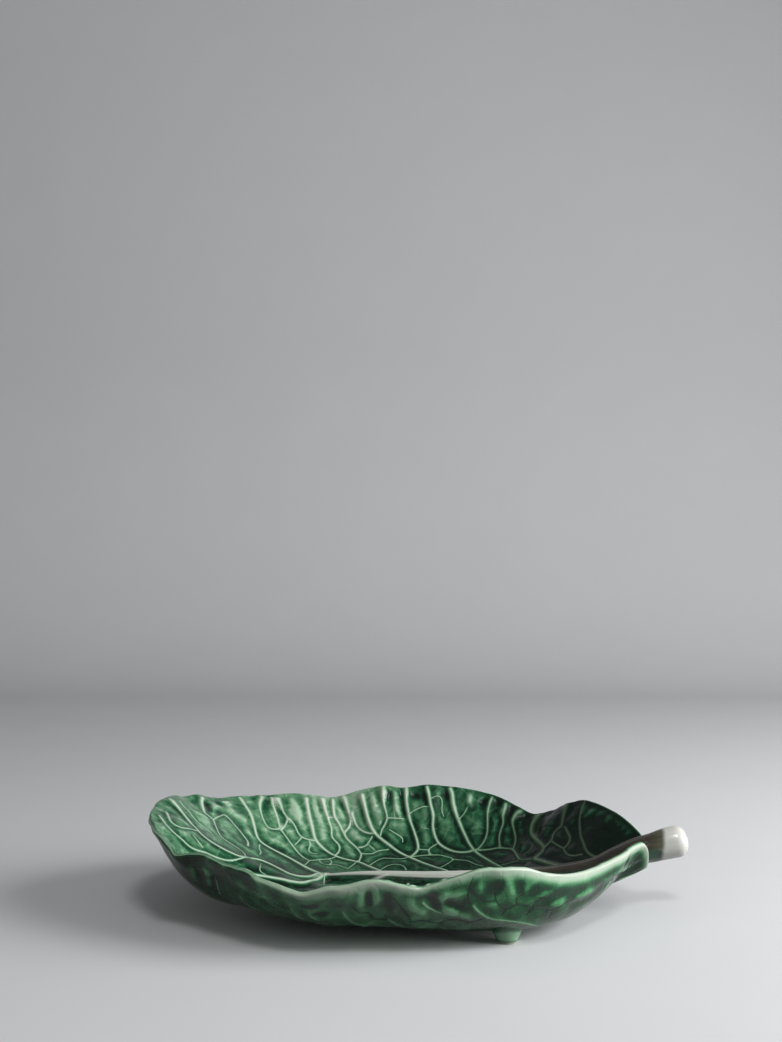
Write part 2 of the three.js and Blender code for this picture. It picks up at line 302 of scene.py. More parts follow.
# The rim, from the stalk end round the back, the tip and the front: shares of halfLength,
# halfWidth and rimHeight.
rimShares = np.array([
    [1, 0, 0.47], [1, 0.06, 0.52], [1, 0.11, 0.64], [0.99, 0.14, 0.73], [0.93, 0.27, 0.88],
    [0.87, 0.41, 0.95], [0.8, 0.54, 0.97], [0.73, 0.62, 0.88], [0.68, 0.7, 0.78], [0.61, 0.77, 0.69],
    [0.54, 0.83, 0.74], [0.46, 0.89, 0.83], [0.38, 0.93, 0.89], [0.28, 0.97, 0.93], [0.15, 0.99, 0.96],
    [0.04, 1, 0.92], [-0.05, 1, 0.94], [-0.16, 1, 0.88], [-0.23, 1, 0.82], [-0.29, 0.99, 0.8],
    [-0.35, 0.98, 0.83], [-0.45, 0.97, 0.86], [-0.56, 0.92, 0.86], [-0.69, 0.82, 0.88],
    [-0.79, 0.69, 0.91], [-0.86, 0.57, 0.99], [-0.91, 0.47, 1], [-0.94, 0.36, 1.07],
    [-0.97, 0.22, 1.06], [-0.98, 0.1, 1.02], [-0.98, 0, 1], [-0.96, -0.1, 0.96], [-0.93, -0.2, 0.92],
    [-0.89, -0.31, 0.89], [-0.85, -0.4, 0.84], [-0.82, -0.47, 0.79], [-0.76, -0.53, 0.82],
    [-0.7, -0.59, 0.84], [-0.63, -0.68, 0.8], [-0.55, -0.78, 0.78], [-0.47, -0.87, 0.72],
    [-0.4, -0.93, 0.69], [-0.33, -0.97, 0.67], [-0.25, -0.99, 0.74], [-0.17, -1, 0.77],
    [-0.08, -1, 0.8], [0.01, -1, 0.75], [0.08, -0.99, 0.71], [0.14, -0.99, 0.75], [0.22, -0.99, 0.82],
    [0.3, -0.98, 0.88], [0.39, -0.94, 0.88], [0.46, -0.88, 0.85], [0.54, -0.8, 0.76],
    [0.64, -0.66, 0.69], [0.75, -0.49, 0.68], [0.85, -0.33, 0.72], [0.92, -0.2, 0.75],
    [0.97, -0.12, 0.74], [0.99, -0.09, 0.66], [1, -0.05, 0.53],
])
# At even steps round the leaf: how far out the floor turns up into the wall.
kneeShares = np.array([
    0.77, 0.7, 0.7, 0.72, 0.74, 0.75, 0.74, 0.73, 0.7, 0.64, 0.58, 0.52,
    0.47, 0.75, 0.84, 0.89, 0.84, 0.82, 0.84, 0.88, 0.96, 0.96, 0.96, 0.84,
])
# How far the wall bellies out under the rim, at the same steps.
bellyShares = np.array([
    -0.04, 0, 0, 0, 0, 0, 0, 0, 0, 0, 0, 0,
    0, 0.2, 0.04, 0.04, 0.02, 0, 0, 0, 0.08, 0.21, 0.1, -0.02,
])
# How far the outside of the wall is drawn in from the solid's, at the same steps.
outsideIn = np.array([
    0.3, 0.8, 0.8, 0.8, 0.8, 0.8, 0.8, 0.8, 0.8, 0.8, 0.8, 1,
    1.2, 1.2, 1.2, 1.7, 1.7, 1.5, 0.8, 0, -1.2, -2.4, -2.5, -0.8,
]) * mm
# How far the rim is lifted from the solid's, at the same steps.
rimLift = np.array([
    0, 0.8, -1.6, -1.8, 1.3, 0.5, 0, 0.6, 0, 0, 0, 0,
    0, 0, 0, 0, 0, -2.4, 0, 0, 0, 0, 0, 0,
]) * mm
rimRows = rimShares * np.array([leaf["halfLength"], leaf["halfWidth"], leaf["rimHeight"]])
lowest = np.array([
    leaf["floorAlong"] * leaf["halfLength"],
    leaf["floorAcross"] * leaf["halfWidth"],
    leaf["floorHeight"],
])
leafShift = np.array([-leaf["middle"], 0, 0])


def closedCurve(rows, turn):
    count = len(rows)
    step = (np.asarray(turn) % 1.0) * count
    first = np.floor(step).astype(int)
    part = step - first
    if rows.ndim > 1:
        part = part[..., None]
    return curveAt(*(rows[(first + k) % count] for k in (-1, 0, 1, 2)), part)


def calmRim(turn):                   # the rim with its waves evened out
    total = 0
    weights = 0
    for i in range(leaf["calmSamples"]):
        offset = 2 * i / (leaf["calmSamples"] - 1) - 1
        weight = 1 - (1 - leaf["calmEdge"]) * offset ** 2
        total = total + weight * closedCurve(rimRows, turn + offset * leaf["calmSpan"])
        weights += weight
    return total / weights


def rimLine(turn):
    line = closedCurve(rimRows, turn)
    line[..., 2] += closedCurve(rimLift, turn)
    return line


def softStep(x):                     # near 0 below zero, near x above it
    return np.log1p(np.exp(-np.abs(x))) + np.maximum(x, 0)


def climb(out, turn):                # how far the wall has climbed at a share of the way out
    knee = closedCurve(kneeShares, turn)
    start = softStep(-knee / leaf["kneeSoftness"])
    end = softStep((1 - knee) / leaf["kneeSoftness"])
    return (softStep((out - knee) / leaf["kneeSoftness"]) - start) / (end - start)


def calmPlace(out, turn):
    rim = calmRim(turn)
    reach = out + leaf["bellyGain"] * closedCurve(bellyShares, turn) * out ** 3 * (1 - out)
    flat = lowest[:2] + (rim[..., :2] - lowest[:2]) * reach[..., None]
    height = lowest[2] + (rim[..., 2] - lowest[2]) * climb(out, turn)
    return np.concatenate([flat, height[..., None]], -1)


def wallFrame(out, turn):            # direction up through the wall, and towards the rim along it
    probe = leaf["probe"]
    low = np.maximum(out - probe, probe)
    high = np.minimum(np.maximum(out, probe) + probe, 1)
    outwards = unit(calmPlace(high, turn) - calmPlace(low, turn))
    around = unit(calmPlace(high, turn + probe) - calmPlace(high, turn - probe))
    return unit(np.cross(outwards, around)), outwards


def leafPlace(along, across, side, stand=0.0):   # side 1 is the inside, -1 the outside
    along = np.asarray(along, float)
    across = np.asarray(across, float)
    out = np.minimum(np.hypot(along, across), 1)
    turn = (np.arctan2(across, along) / (2 * np.pi)) % 1.0
    wave = (rimLine(turn) - calmRim(turn)) * (out ** leaf["waveFade"])[..., None]
    edge = out ** leaf["edgeFade"]
    thickness = leaf["wall"] + (leaf["rimEdge"] - leaf["wall"]) * edge
    up, outwards = wallFrame(out, turn)
    drawnBack = leaf["rimRound"] * leaf["rimEdge"] * (edge - stand)
    drawnIn = closedCurve(outsideIn, turn) * np.clip(-side, 0, 1) * (1 - edge)
    shift = side * thickness / 2 + drawnIn
    place = calmPlace(out, turn) + wave + up * shift[..., None]
    return place - outwards * drawnBack[..., None] + leafShift, up


# Places in the photograph, in sevenths of a pixel from its pixel (140, 780), read one by one.
# Each run has a thickness where it starts, one where it ends, and its places.
marks = {
    "origin": (140.0, 780.0),
    "step": 1 / 7,
    "frame": (782, 1042),
    "rayStep": 12.0,                 # between the rays cast along a run, in the same sevenths
    "spacing": 1.4 * mm,             # between a run's points on the leaf
    "shareSpacing": 0.02,            # the same for runs given in shares
    "swellEnd": 0.6,                 # part of a run over which its first thickness fades to 1
    "swellFade": 1.1,
    "spreadStart": 0.55,             # part of a run after which it goes over to its last thickness
    "spreadFade": 1.3,
    "spreadGain": 0.75,
}
# How runs are carried over to the side of the midrib that the photograph hides.
mirror = {
    "spacing": 9 * mm,
    "tipRoots": -0.2,                # runs that leave the midrib nearer the tip stay single
    "clear": 0.22,                   # nothing nearer the midrib than this is carried over
    "tipLimit": -0.7,
    "axis": 0.2,                     # the midrib's own place across
    "forward": 0.06,                 # how far the copy is moved towards the stalk
    "rootReach": 0.35,               # roots nearer the midrib than this are led on to it
    "rootAcross": 0.15,
    "rootBend": 0.45,
}

mainVeins = [
    [2.5, 1.4, [[1335, 674], [1285, 668], [1240, 676], [1180, 682], [1100, 678], [1050, 665], [1000, 640],
                [950, 612], [900, 588], [860, 570], [800, 556], [740, 550], [690, 543], [640, 522],
                [590, 500], [540, 470], [490, 438], [440, 400], [400, 360], [350, 305], [300, 245],
                [250, 185], [205, 130]]],
    [2.2, 1.3, [[1335, 672], [1275, 661], [1240, 650], [1190, 628], [1140, 603], [1090, 575], [1050, 552],
                [1000, 525], [950, 500], [900, 470], [860, 448], [835, 430], [815, 400], [800, 350],
                [790, 310], [775, 255], [750, 205], [725, 165], [700, 125]]],
    [2.3, 0.8, [[1335, 678], [1290, 682], [1240, 700], [1190, 715], [1130, 722], [1060, 715], [1000, 700],
                [940, 690], [880, 678], [840, 672], [760, 660], [680, 650], [600, 632], [520, 600],
                [440, 570]]],
    [1.9, 1.5, [[1763, 697], [1715, 662], [1660, 632], [1600, 610], [1540, 582], [1500, 572], [1450, 564],
                [1400, 550], [1350, 530], [1300, 497], [1260, 462], [1228, 428], [1212, 380], [1200, 330],
                [1188, 280], [1178, 230], [1170, 180], [1160, 130]]],
    [1.9, 1.7, [[2275, 717], [2200, 672], [2150, 642], [2100, 625], [2030, 603], [1960, 577], [1890, 547],
                [1830, 520], [1780, 490], [1730, 450], [1690, 418], [1650, 382], [1625, 350], [1605, 305],
                [1590, 260], [1578, 215], [1565, 165], [1550, 112]]],
    [1.0, 1.9, [[1890, 547], [1925, 520], [1948, 490], [1940, 430], [1925, 385], [1910, 340], [1890, 290],
                [1878, 240], [1866, 180], [1860, 120], [1862, 60]]],
    [1.0, 1.5, [[2345, 500], [2310, 508], [2260, 516], [2200, 508], [2150, 487], [2110, 465], [2085, 440],
                [2065, 400], [2052, 350], [2048, 300], [2055, 260], [2045, 215], [2030, 165], [2022, 110],
                [2008, 50]]],
    [1.9, 1.8, [[2697, 722], [2630, 680], [2560, 632], [2500, 600], [2450, 575], [2400, 545], [2350, 510],
                [2325, 480], [2300, 445], [2280, 400], [2258, 355], [2235, 300], [2215, 250], [2195, 190],
                [2186, 140], [2182, 95], [2168, 50]]],
    [1.9, 2.2, [[3110, 652], [3020, 628], [2930, 608], [2850, 585], [2790, 568], [2745, 560], [2775, 545],
                [2812, 515], [2832, 480], [2810, 455], [2770, 420], [2742, 385], [2740, 330], [2755, 290],
                [2785, 245]]],
]
# Main veins of the front side, which the front wall hides, in shares of the leaf's half length
# and half width.
frontVeins = [
    [1.6, 1.5, [[-0.06, 0.16], [-0.11, 0.1], [-0.18, -0.03], [-0.27, -0.19], [-0.36, -0.36], [-0.43, -0.53],
                [-0.48, -0.68], [-0.53, -0.79]]],
    [0.9, 1.4, [[-0.3, -0.24], [-0.42, -0.3], [-0.53, -0.42], [-0.62, -0.54], [-0.7, -0.62]]],
]
sideVeins = [
    [1.0, 2.2, [[740, 552], [730, 520], [705, 497], [660, 468], [610, 435], [570, 405], [548, 370],
                [525, 325], [508, 285], [475, 255], [450, 240], [438, 205], [432, 165], [430, 128]]],
    [1.2, 1.2, [[750, 468], [752, 435], [725, 400], [690, 355], [650, 308], [615, 268], [585, 245]]],
    [1.0, 1.6, [[395, 365], [350, 350], [290, 342], [240, 322], [205, 295], [190, 262], [178, 235]]],
    [1.0, 1.0, [[722, 553], [660, 567], [600, 570], [520, 545], [450, 512], [395, 497], [345, 470],
                [290, 420], [225, 368], [170, 300], [130, 250]]],
    [0.8, 2.6, [[975, 345], [950, 350], [905, 345], [878, 320], [855, 270], [840, 210], [838, 160],
                [850, 120]]],
    [1.0, 1.8, [[1185, 568], [1140, 545], [1090, 497], [1050, 445], [1010, 388], [978, 342], [965, 285],
                [945, 220], [925, 165], [920, 125]]],
    [0.9, 2.4, [[990, 352], [1018, 315], [1028, 285], [1030, 262], [1008, 232], [985, 185], [958, 135]]],
    [1.0, 1.0, [[1228, 432], [1190, 425], [1140, 410], [1110, 383], [1088, 335], [1062, 293], [1030, 262]]],
    [1.0, 2.4, [[1362, 535], [1385, 515], [1398, 480], [1388, 450], [1355, 420], [1338, 390], [1340, 345],
                [1322, 295], [1310, 260], [1290, 200], [1272, 140]]],
    [1.0, 1.8, [[1530, 578], [1548, 530], [1530, 498], [1500, 465], [1460, 430], [1435, 395], [1410, 345],
                [1385, 295], [1360, 262], [1350, 200], [1345, 140]]],
    [1.0, 2.8, [[1435, 398], [1430, 365], [1460, 335], [1472, 290], [1462, 240], [1445, 190], [1422, 125]]],
    [1.0, 1.8, [[1640, 380], [1590, 375], [1550, 357], [1515, 325], [1498, 290], [1478, 240]]],
    [0.8, 2.8, [[1683, 392], [1690, 350], [1712, 318], [1730, 268], [1720, 220], [1705, 170], [1700, 110],
                [1702, 58]]],
    [1.0, 1.5, [[2345, 498], [2372, 485], [2402, 448], [2422, 408], [2432, 365], [2432, 300], [2433, 230],
                [2445, 165], [2462, 125]]],
    [1.0, 1.0, [[2340, 500], [2400, 496], [2460, 492], [2510, 482], [2570, 485], [2612, 492], [2635, 528],
                [2658, 560], [2705, 563], [2745, 560]]],
    [1.0, 2.2, [[2525, 485], [2518, 450], [2516, 400], [2528, 350], [2545, 305], [2540, 250], [2560, 172]]],
    [1.0, 2.6, [[2612, 492], [2622, 465], [2632, 430], [2630, 395], [2618, 345], [2608, 295], [2630, 245],
                [2665, 222]]],
    [1.0, 2.2, [[2832, 480], [2860, 450], [2885, 430], [2895, 385], [2925, 345], [2955, 330], [2962, 270],
                [2990, 172]]],
    [0.9, 0.9, [[2968, 480], [2995, 455], [3015, 415], [2998, 375], [2978, 335]]],
    [1.0, 0.6, [[3240, 548], [3200, 550], [3150, 527], [3120, 490], [3108, 450], [3088, 400], [3082, 340],
                [3080, 280], [3095, 215], [3118, 155]]],
]
fineVeins = [
    [1.0, 1.0, [[505, 285], [545, 260], [585, 245]]],
    [1.0, 1.0, [[1310, 260], [1335, 262], [1360, 264]]],
    [1.0, 1.0, [[1730, 268], [1790, 270], [1840, 275]]],
    [1.3, 1.3, [[2040, 530], [2015, 500], [2035, 475], [2082, 448]]],
    [1.2, 1.2, [[2535, 598], [2600, 582], [2658, 562]]],
    [1.2, 1.2, [[2885, 435], [2930, 463], [2965, 482], [2985, 520], [3028, 536], [3095, 528]]],
    [1.2, 1.2, [[1530, 478], [1572, 472], [1600, 440], [1625, 397]]],
    [1.2, 1.0, [[1548, 522], [1600, 524], [1635, 522], [1658, 501], [1740, 492]]],
    [1.2, 1.2, [[1600, 610], [1655, 572], [1705, 552], [1780, 557], [1840, 556], [1880, 545]]],
    [1.2, 1.2, [[1680, 638], [1730, 608], [1780, 596], [1830, 600], [1852, 614], [1862, 636]]],
    [1.2, 1.2, [[1895, 545], [1960, 535], [2040, 530], [2100, 530], [2155, 545], [2196, 562], [2145, 595],
                [2102, 618]]],
    [1.2, 1.2, [[2196, 563], [2250, 568], [2295, 573], [2350, 598], [2400, 608]]],
    [1.0, 0.8, [[1945, 490], [2000, 492], [2025, 495]]],
    [1.2, 1.2, [[1185, 568], [1250, 562], [1320, 558], [1372, 543]]],
    [1.2, 1.0, [[1290, 690], [1288, 715], [1286, 742]]],
    [1.0, 0.8, [[1182, 432], [1192, 460], [1177, 490], [1190, 515], [1240, 520]]],
    [1.0, 0.8, [[1130, 405], [1108, 432], [1080, 460]]],
    [1.0, 1.0, [[1183, 570], [1150, 602]]],
    [1.0, 0.8, [[1520, 575], [1490, 600], [1450, 628]]],
    [0.8, 0.8, [[1250, 562], [1270, 590], [1320, 600], [1380, 600], [1440, 622]]],
    [0.8, 0.8, [[1320, 558], [1345, 580], [1320, 600]]],
    [1.0, 0.8, [[838, 455], [830, 480], [845, 512], [832, 530]]],
    [0.8, 0.8, [[845, 590], [835, 640], [880, 668]]],
    [0.8, 0.8, [[1605, 462], [1640, 492]]],
    [0.8, 0.8, [[1745, 350], [1800, 385], [1840, 412], [1838, 440]]],
    [0.8, 0.8, [[2040, 130], [2070, 110], [2108, 120], [2115, 175], [2110, 215], [2125, 255]]],
    [1.2, 1.0, [[2755, 455], [2735, 497], [2682, 533]]],
    [1.0, 1.0, [[275, 150], [300, 185], [330, 215]]],
    [1.0, 1.0, [[330, 218], [370, 272], [430, 325], [512, 390]]],
    [0.8, 0.8, [[370, 388], [400, 430], [435, 478]]],
    [0.8, 0.8, [[1885, 240], [1920, 215], [1990, 185], [2015, 190]]],
    [0.8, 0.8, [[2235, 275], [2270, 235], [2290, 195]]],
]
# Broad folds and hollows of the wall under the rim, on the inside.
rimFolds = [
    [1.2, 0.5, [[1778, 60], [1785, 140], [1798, 205], [1815, 245]]],
    [1.3, 0.6, [[2000, 48], [2018, 105], [2024, 150]]],
    [1.0, 0.4, [[2090, 55], [2082, 118]]],
    [0.9, 0.4, [[2303, 92], [2306, 190]]],
    [1.0, 0.5, [[2562, 165], [2528, 245]]],
    [0.6, 0.4, [[1055, 125], [1085, 220], [1110, 300]]],
    [0.9, 0.5, [[3125, 150], [3100, 230]]],
    [0.6, 0.3, [[3240, 165], [3180, 215], [3120, 260]]],
    [0.7, 0.3, [[3290, 190], [3240, 225], [3205, 245]]],
    [0.7, 0.3, [[3325, 215], [3270, 290]]],
    [0.6, 0.3, [[3372, 248], [3340, 290]]],
    [0.7, 0.3, [[3405, 268], [3350, 312]]],
    [0.6, 0.3, [[3435, 290], [3382, 340]]],
    [0.6, 0.3, [[3465, 318], [3412, 370]]],
    [1.4, 0.6, [[190, 118], [222, 150], [262, 195]]],
    [1.2, 0.6, [[110, 190], [150, 218]]],
    [2.2, 2.2, [[592, 158], [604, 172]]],
    [0.9, 0.4, [[760, 128], [772, 180]]],
    [0.8, 0.4, [[1215, 125], [1225, 200], [1245, 260]]],
    [0.8, 0.4, [[1622, 90], [1640, 200]]],
    [0.8, 0.4, [[2395, 95], [2372, 140]]],
]
rimHollows = [
    [1.2, 0.6, [[1745, 90], [1752, 150], [1760, 220]]],
    [1.1, 0.5, [[1832, 90], [1846, 170], [1850, 245]]],
    [1.1, 0.6, [[985, 215], [1005, 270], [1010, 305]]],
    [1.2, 0.7, [[1400, 140], [1425, 220], [1440, 300]]],
    [1.0, 0.5, [[2398, 150], [2392, 200]]],
    [1.2, 0.7, [[2505, 140], [2482, 225]]],
    [1.1, 0.6, [[2595, 200], [2572, 285]]],
    [1.2, 0.8, [[2705, 235], [2688, 335]]],
    [1.3, 0.8, [[2812, 262], [2790, 365]]],
    [1.0, 0.6, [[3045, 175], [3015, 285]]],
    [1.0, 0.6, [[882, 150], [892, 240], [915, 310]]],
    [1.8, 1.6, [[470, 170], [490, 210], [540, 225]]],
    [1.8, 1.6, [[545, 140], [560, 165]]],
    [1.2, 1.0, [[1930, 105], [1950, 115]]],
    [1.1, 1.0, [[1990, 120], [2000, 160]]],
    [0.9, 0.5, [[2145, 70], [2150, 130]]],
    [0.8, 0.5, [[355, 130], [372, 165]]],
]
# The same on the outside.
outerRibs = [
    [1.0, 1.0, [[2330, 878], [2370, 922], [2440, 965], [2520, 976], [2620, 986], [2700, 1000], [2780, 1020]]],
    [0.7, 0.7, [[690, 800], [720, 850], [760, 880], [820, 905]]],
    [0.7, 0.7, [[1060, 900], [1090, 940], [1150, 980]]],
    [0.7, 0.7, [[1180, 930], [1210, 960], [1250, 982]]],
    [0.8, 0.8, [[1420, 925], [1450, 970], [1500, 1000], [1580, 1019]]],
    [0.8, 0.8, [[1740, 980], [1790, 1010], [1840, 1028]]],
    [0.9, 0.9, [[1980, 860], [2010, 892], [2060, 920], [2105, 936]]],
    [0.6, 0.6, [[520, 690], [545, 760], [560, 800]]],
    [0.9, 0.9, [[3190, 850], [3225, 800], [3260, 745], [3300, 700]]],
    [0.8, 0.8, [[3350, 690], [3450, 655], [3530, 620]]],
]
outerFolds = [
    [1.0, 0.6, [[370, 635], [378, 695]]],
    [1.3, 0.8, [[468, 640], [485, 735]]],
    [0.7, 0.5, [[700, 700], [725, 770]]],
    [0.7, 0.7, [[820, 795], [840, 815]]],
    [0.9, 0.7, [[1545, 790], [1545, 885]]],
    [0.8, 0.6, [[1650, 780], [1655, 865]]],
    [1.1, 1.1, [[1895, 850], [1905, 900]]],
    [1.2, 1.2, [[1930, 905], [1975, 918]]],
    [1.7, 1.7, [[2138, 800], [2115, 850], [2120, 892]]],
    [1.7, 1.2, [[2150, 910], [2200, 930], [2280, 948]]],
    [1.0, 0.7, [[2180, 808], [2240, 795], [2290, 775]]],
    [1.0, 0.8, [[2400, 700], [2385, 780]]],
    [1.0, 0.8, [[2598, 715], [2600, 790]]],
    [0.7, 0.7, [[2715, 715], [2705, 780]]],
    [0.5, 0.5, [[2800, 820], [2870, 785]]],
    [0.9, 0.9, [[2440, 868], [2475, 868]]],
    [1.0, 1.0, [[2900, 870], [2960, 840], [3015, 800]]],
    [1.1, 1.1, [[3050, 812], [3110, 785], [3165, 770]]],
    [0.8, 0.8, [[3240, 700], [3330, 650], [3420, 610]]],
]
outerHollows = [
    [1.0, 1.0, [[420, 650], [440, 740]]],
    [1.0, 1.0, [[520, 690], [530, 770]]],
    [0.8, 0.8, [[330, 640], [340, 690]]],
    [1.0, 1.0, [[1160, 888], [1215, 892]]],
    [0.9, 0.9, [[1230, 940], [1290, 945]]],
    [0.7, 0.7, [[1600, 785], [1600, 870]]],
    [0.7, 0.7, [[1730, 800], [1750, 900]]],
    [1.6, 1.3, [[2005, 785], [2050, 830], [2085, 890]]],
    [1.2, 1.2, [[2160, 860], [2220, 880]]],
    [1.2, 1.2, [[2525, 715], [2495, 770]]],
    [1.0, 1.0, [[2668, 725], [2662, 775]]],
    [1.0, 1.0, [[2750, 785], [2790, 765], [2838, 742]]],
    [1.3, 1.3, [[2820, 862], [2880, 828], [2962, 782]]],
    [1.3, 1.3, [[3002, 822], [3058, 768]]],
    [1.2, 1.2, [[3090, 848], [3160, 812], [3200, 758]]],
    [1.2, 1.2, [[3300, 690], [3400, 640], [3505, 588]]],
    [0.8, 0.8, [[3020, 872], [3080, 852]]],
]
outerLines = [
    [1.0, 1.0, [[2290, 760], [2340, 800], [2400, 850], [2490, 850]]],
    [1.0, 1.0, [[2480, 790], [2490, 850], [2510, 880], [2560, 900]]],
    [1.0, 1.0, [[2530, 940], [2560, 910], [2620, 880], [2640, 870], [2710, 890]]],
    [1.0, 1.0, [[2640, 870], [2620, 850], [2640, 820], [2680, 800]]],
    [1.0, 1.0, [[2700, 940], [2740, 900], [2750, 870], [2790, 840], [2850, 830]]],
    [1.0, 1.0, [[2740, 905], [2820, 900], [2900, 905], [2940, 880], [3000, 840]]],
    [1.0, 1.0, [[2860, 970], [2880, 920], [2900, 905]]],
    [1.0, 1.0, [[2100, 1010], [2120, 990], [2200, 975], [2260, 985], [2300, 1000], [2400, 970]]],
    [1.0, 1.0, [[1780, 830], [1830, 900], [1880, 960], [1890, 1000]]],
    [1.0, 1.0, [[1890, 1000], [1960, 985], [2050, 1000], [2100, 1010]]],
    [0.8, 0.8, [[1480, 880], [1530, 930], [1600, 930]]],
    [0.8, 0.8, [[1600, 930], [1640, 980], [1740, 980]]],
    [0.8, 0.8, [[2330, 690], [2300, 760], [2290, 850], [2330, 878]]],
    [0.8, 0.8, [[860, 830], [900, 880], [960, 900]]],
]


def seenPlace(tree, mark):           # where the ray through a place of the photograph meets the leaf
    width, height = marks["frame"]
    focal = view["lens"] / view["sensor"] * height
    across = marks["origin"][0] + mark[0] * marks["step"] - width / 2
    down = marks["origin"][1] + mark[1] * marks["step"] - height / 2
    ray = Vector((across / focal, 1.0, -down / focal)).normalized()
    start = Vector(view["place"])
    for attempt in range(6):         # passes through faces that are seen from behind
        found, normal = tree.ray_cast(start, ray)[:2]
        if found is None:
            return None
        if normal.dot(ray) < 0:
            return found
        start = found + ray * 0.0001
    return None


def seenRun(tree, places):
    found = [seenPlace(tree, mark) for mark in smoothRun(places, marks["rayStep"])]
    return np.array([place[:] for place in found if place is not None])


def calmRun(points):
    for step in range(3):
        middle = (points[:-2] + 2 * points[1:-1] + points[2:]) / 4
        points = np.vstack([points[:1], middle, points[-1:]])
    return points


def sharesOf(points, finder, shares):
    return np.array([shares[finder.find(Vector(point))[1]] for point in points])


def shareRun(rows, side):            # a run on the leaf through rows given in shares
    flat = smoothRun(rows, marks["shareSpacing"])
    return leafPlace(flat[:, 0], flat[:, 1], np.full(len(flat), float(side)))[0]


def otherSide(points, finder, shares, side, rooted):     # the same run on the other side of the midrib
    kept = sharesOf(evenRun(points, mirror["spacing"]), finder, shares)
    start = kept[0]
    if rooted and start[0] < mirror["tipRoots"]:
        return None
    kept = kept[(np.abs(kept[:, 1]) > mirror["clear"]) & (kept[:, 0] > mirror["tipLimit"])]
    if len(kept) < 2:
        return None
    level = mirror["axis"] * np.clip(1 - np.abs(kept[:, 1]), 0, 1) if side > 0 else 0
    flipped = np.stack([kept[:, 0] + mirror["forward"], level - kept[:, 1]], -1)
    if rooted and start[1] < mirror["rootReach"]:
        ahead = flipped[0] - flipped[1]
        reach = np.clip((mirror["rootAcross"] - flipped[0, 1]) / max(ahead[1], 0.01), 0, 6)
        root = flipped[0] + ahead * reach
        flipped = np.vstack([root, flipped[0] + ahead * reach * mirror["rootBend"], flipped])
    return shareRun(flipped, side)


def thickAlong(startThick, endThick, count):
    part = np.linspace(0, 1, count)
    swell = (1 - np.clip(part / marks["swellEnd"], 0, 1)) ** marks["swellFade"]
    late = (part - marks["spreadStart"]) / (1 - marks["spreadStart"])
    spread = marks["spreadGain"] * np.clip(late, 0, 1) ** marks["spreadFade"]
    return 1 + (startThick - 1) * swell + (endThick - 1) * spread


def standBack(points, rises, tree):  # moves a run so that the tops of its thick parts meet their marks
    moved = []
    for point, rise in zip(points, rises):
        place, normal = tree.find_nearest(Vector(point))[:2]
        ray = (place - Vector(view["place"])).normalized()
        facing = max(-ray.dot(normal), 0.25)
        top = place - ray * (max(rise, 0) / facing) - normal * max(rise, 0)
        moved.append(tree.find_nearest(top)[0][:])
    return np.array(moved)


def runObject(name, table, base, rooted=False, hidden=()):
    tree, finder, shares, side = base
    runs = []
    for startThick, endThick, places in table:
        seen = seenRun(tree, places)
        if len(seen) < 2:
            continue
        run = calmRun(evenRun(seen, marks["spacing"]))
        if rooted:
            rises = (thickAlong(startThick, endThick, len(run)) - 1) * relief["Main height"]
            run = calmRun(evenRun(standBack(run, rises, tree), marks["spacing"]))
        runs.append((startThick, endThick, run))
        flipped = otherSide(seen, finder, shares, side, rooted)
        if flipped is not None:
            runs.append((1.0, endThick, evenRun(flipped, marks["spacing"])))
    for startThick, endThick, rows in hidden:
        runs.append((startThick, endThick, evenRun(shareRun(rows, side), marks["spacing"])))
    points = []
    edges = []
    thickness = []
    for startThick, endThick, run in runs:
        thick = thickAlong(startThick, endThick, len(run))
        edges += [(len(points) + k, len(points) + k + 1) for k in range(len(run) - 1)]
        points += run.tolist()
        thickness += thick.tolist()
    piece = makeObject(name, np.array(points), [], edges)
    giveAttribute(piece, "thick", thickness)
    return piece


def discGrid(alongSteps, acrossSteps):
    x, y = np.meshgrid(
        np.linspace(-1, 1, alongSteps + 1),
        np.linspace(-1, 1, acrossSteps + 1),
        indexing="ij",
    )
    u = x * np.sqrt(1 - y * y / 2)
    v = y * np.sqrt(1 - x * x / 2)
    spread = 1 + leaf["wallRows"] - leaf["wallRows"] * (u * u + v * v)
    return u * spread, v * spread


def gridEdge(alongSteps, acrossSteps):           # the grid's edge, anticlockwise from above
    columns = acrossSteps + 1
    edge = [k * columns for k in range(alongSteps)]
    edge += [alongSteps * columns + k for k in range(acrossSteps)]
    edge += [k * columns + acrossSteps for k in range(alongSteps, 0, -1)]
    edge += [k for k in range(acrossSteps, 0, -1)]
    return np.array(edge)


def gridFaces(alongSteps, acrossSteps, first, upwards):
    columns = acrossSteps + 1
    i, j = np.meshgrid(np.arange(alongSteps), np.arange(acrossSteps), indexing="ij")
    a = (first + i * columns + j).ravel()
    b = a + columns
    faces = np.stack([a, b, b + 1, a + 1], -1)
    return (faces if upwards else faces[:, ::-1]).tolist()


# How far the pale margin reaches down the outside of the wall, at even steps round the leaf.
marginReach = np.array([
    8, 8, 7, 6, 6, 6, 6, 6, 6, 5, 4, 3,
    2, 1.6, 1.4, 1.6, 3, 9.5, 8.5, 6.5, 9.5, 9.5, 8.5, 8,
]) * mm


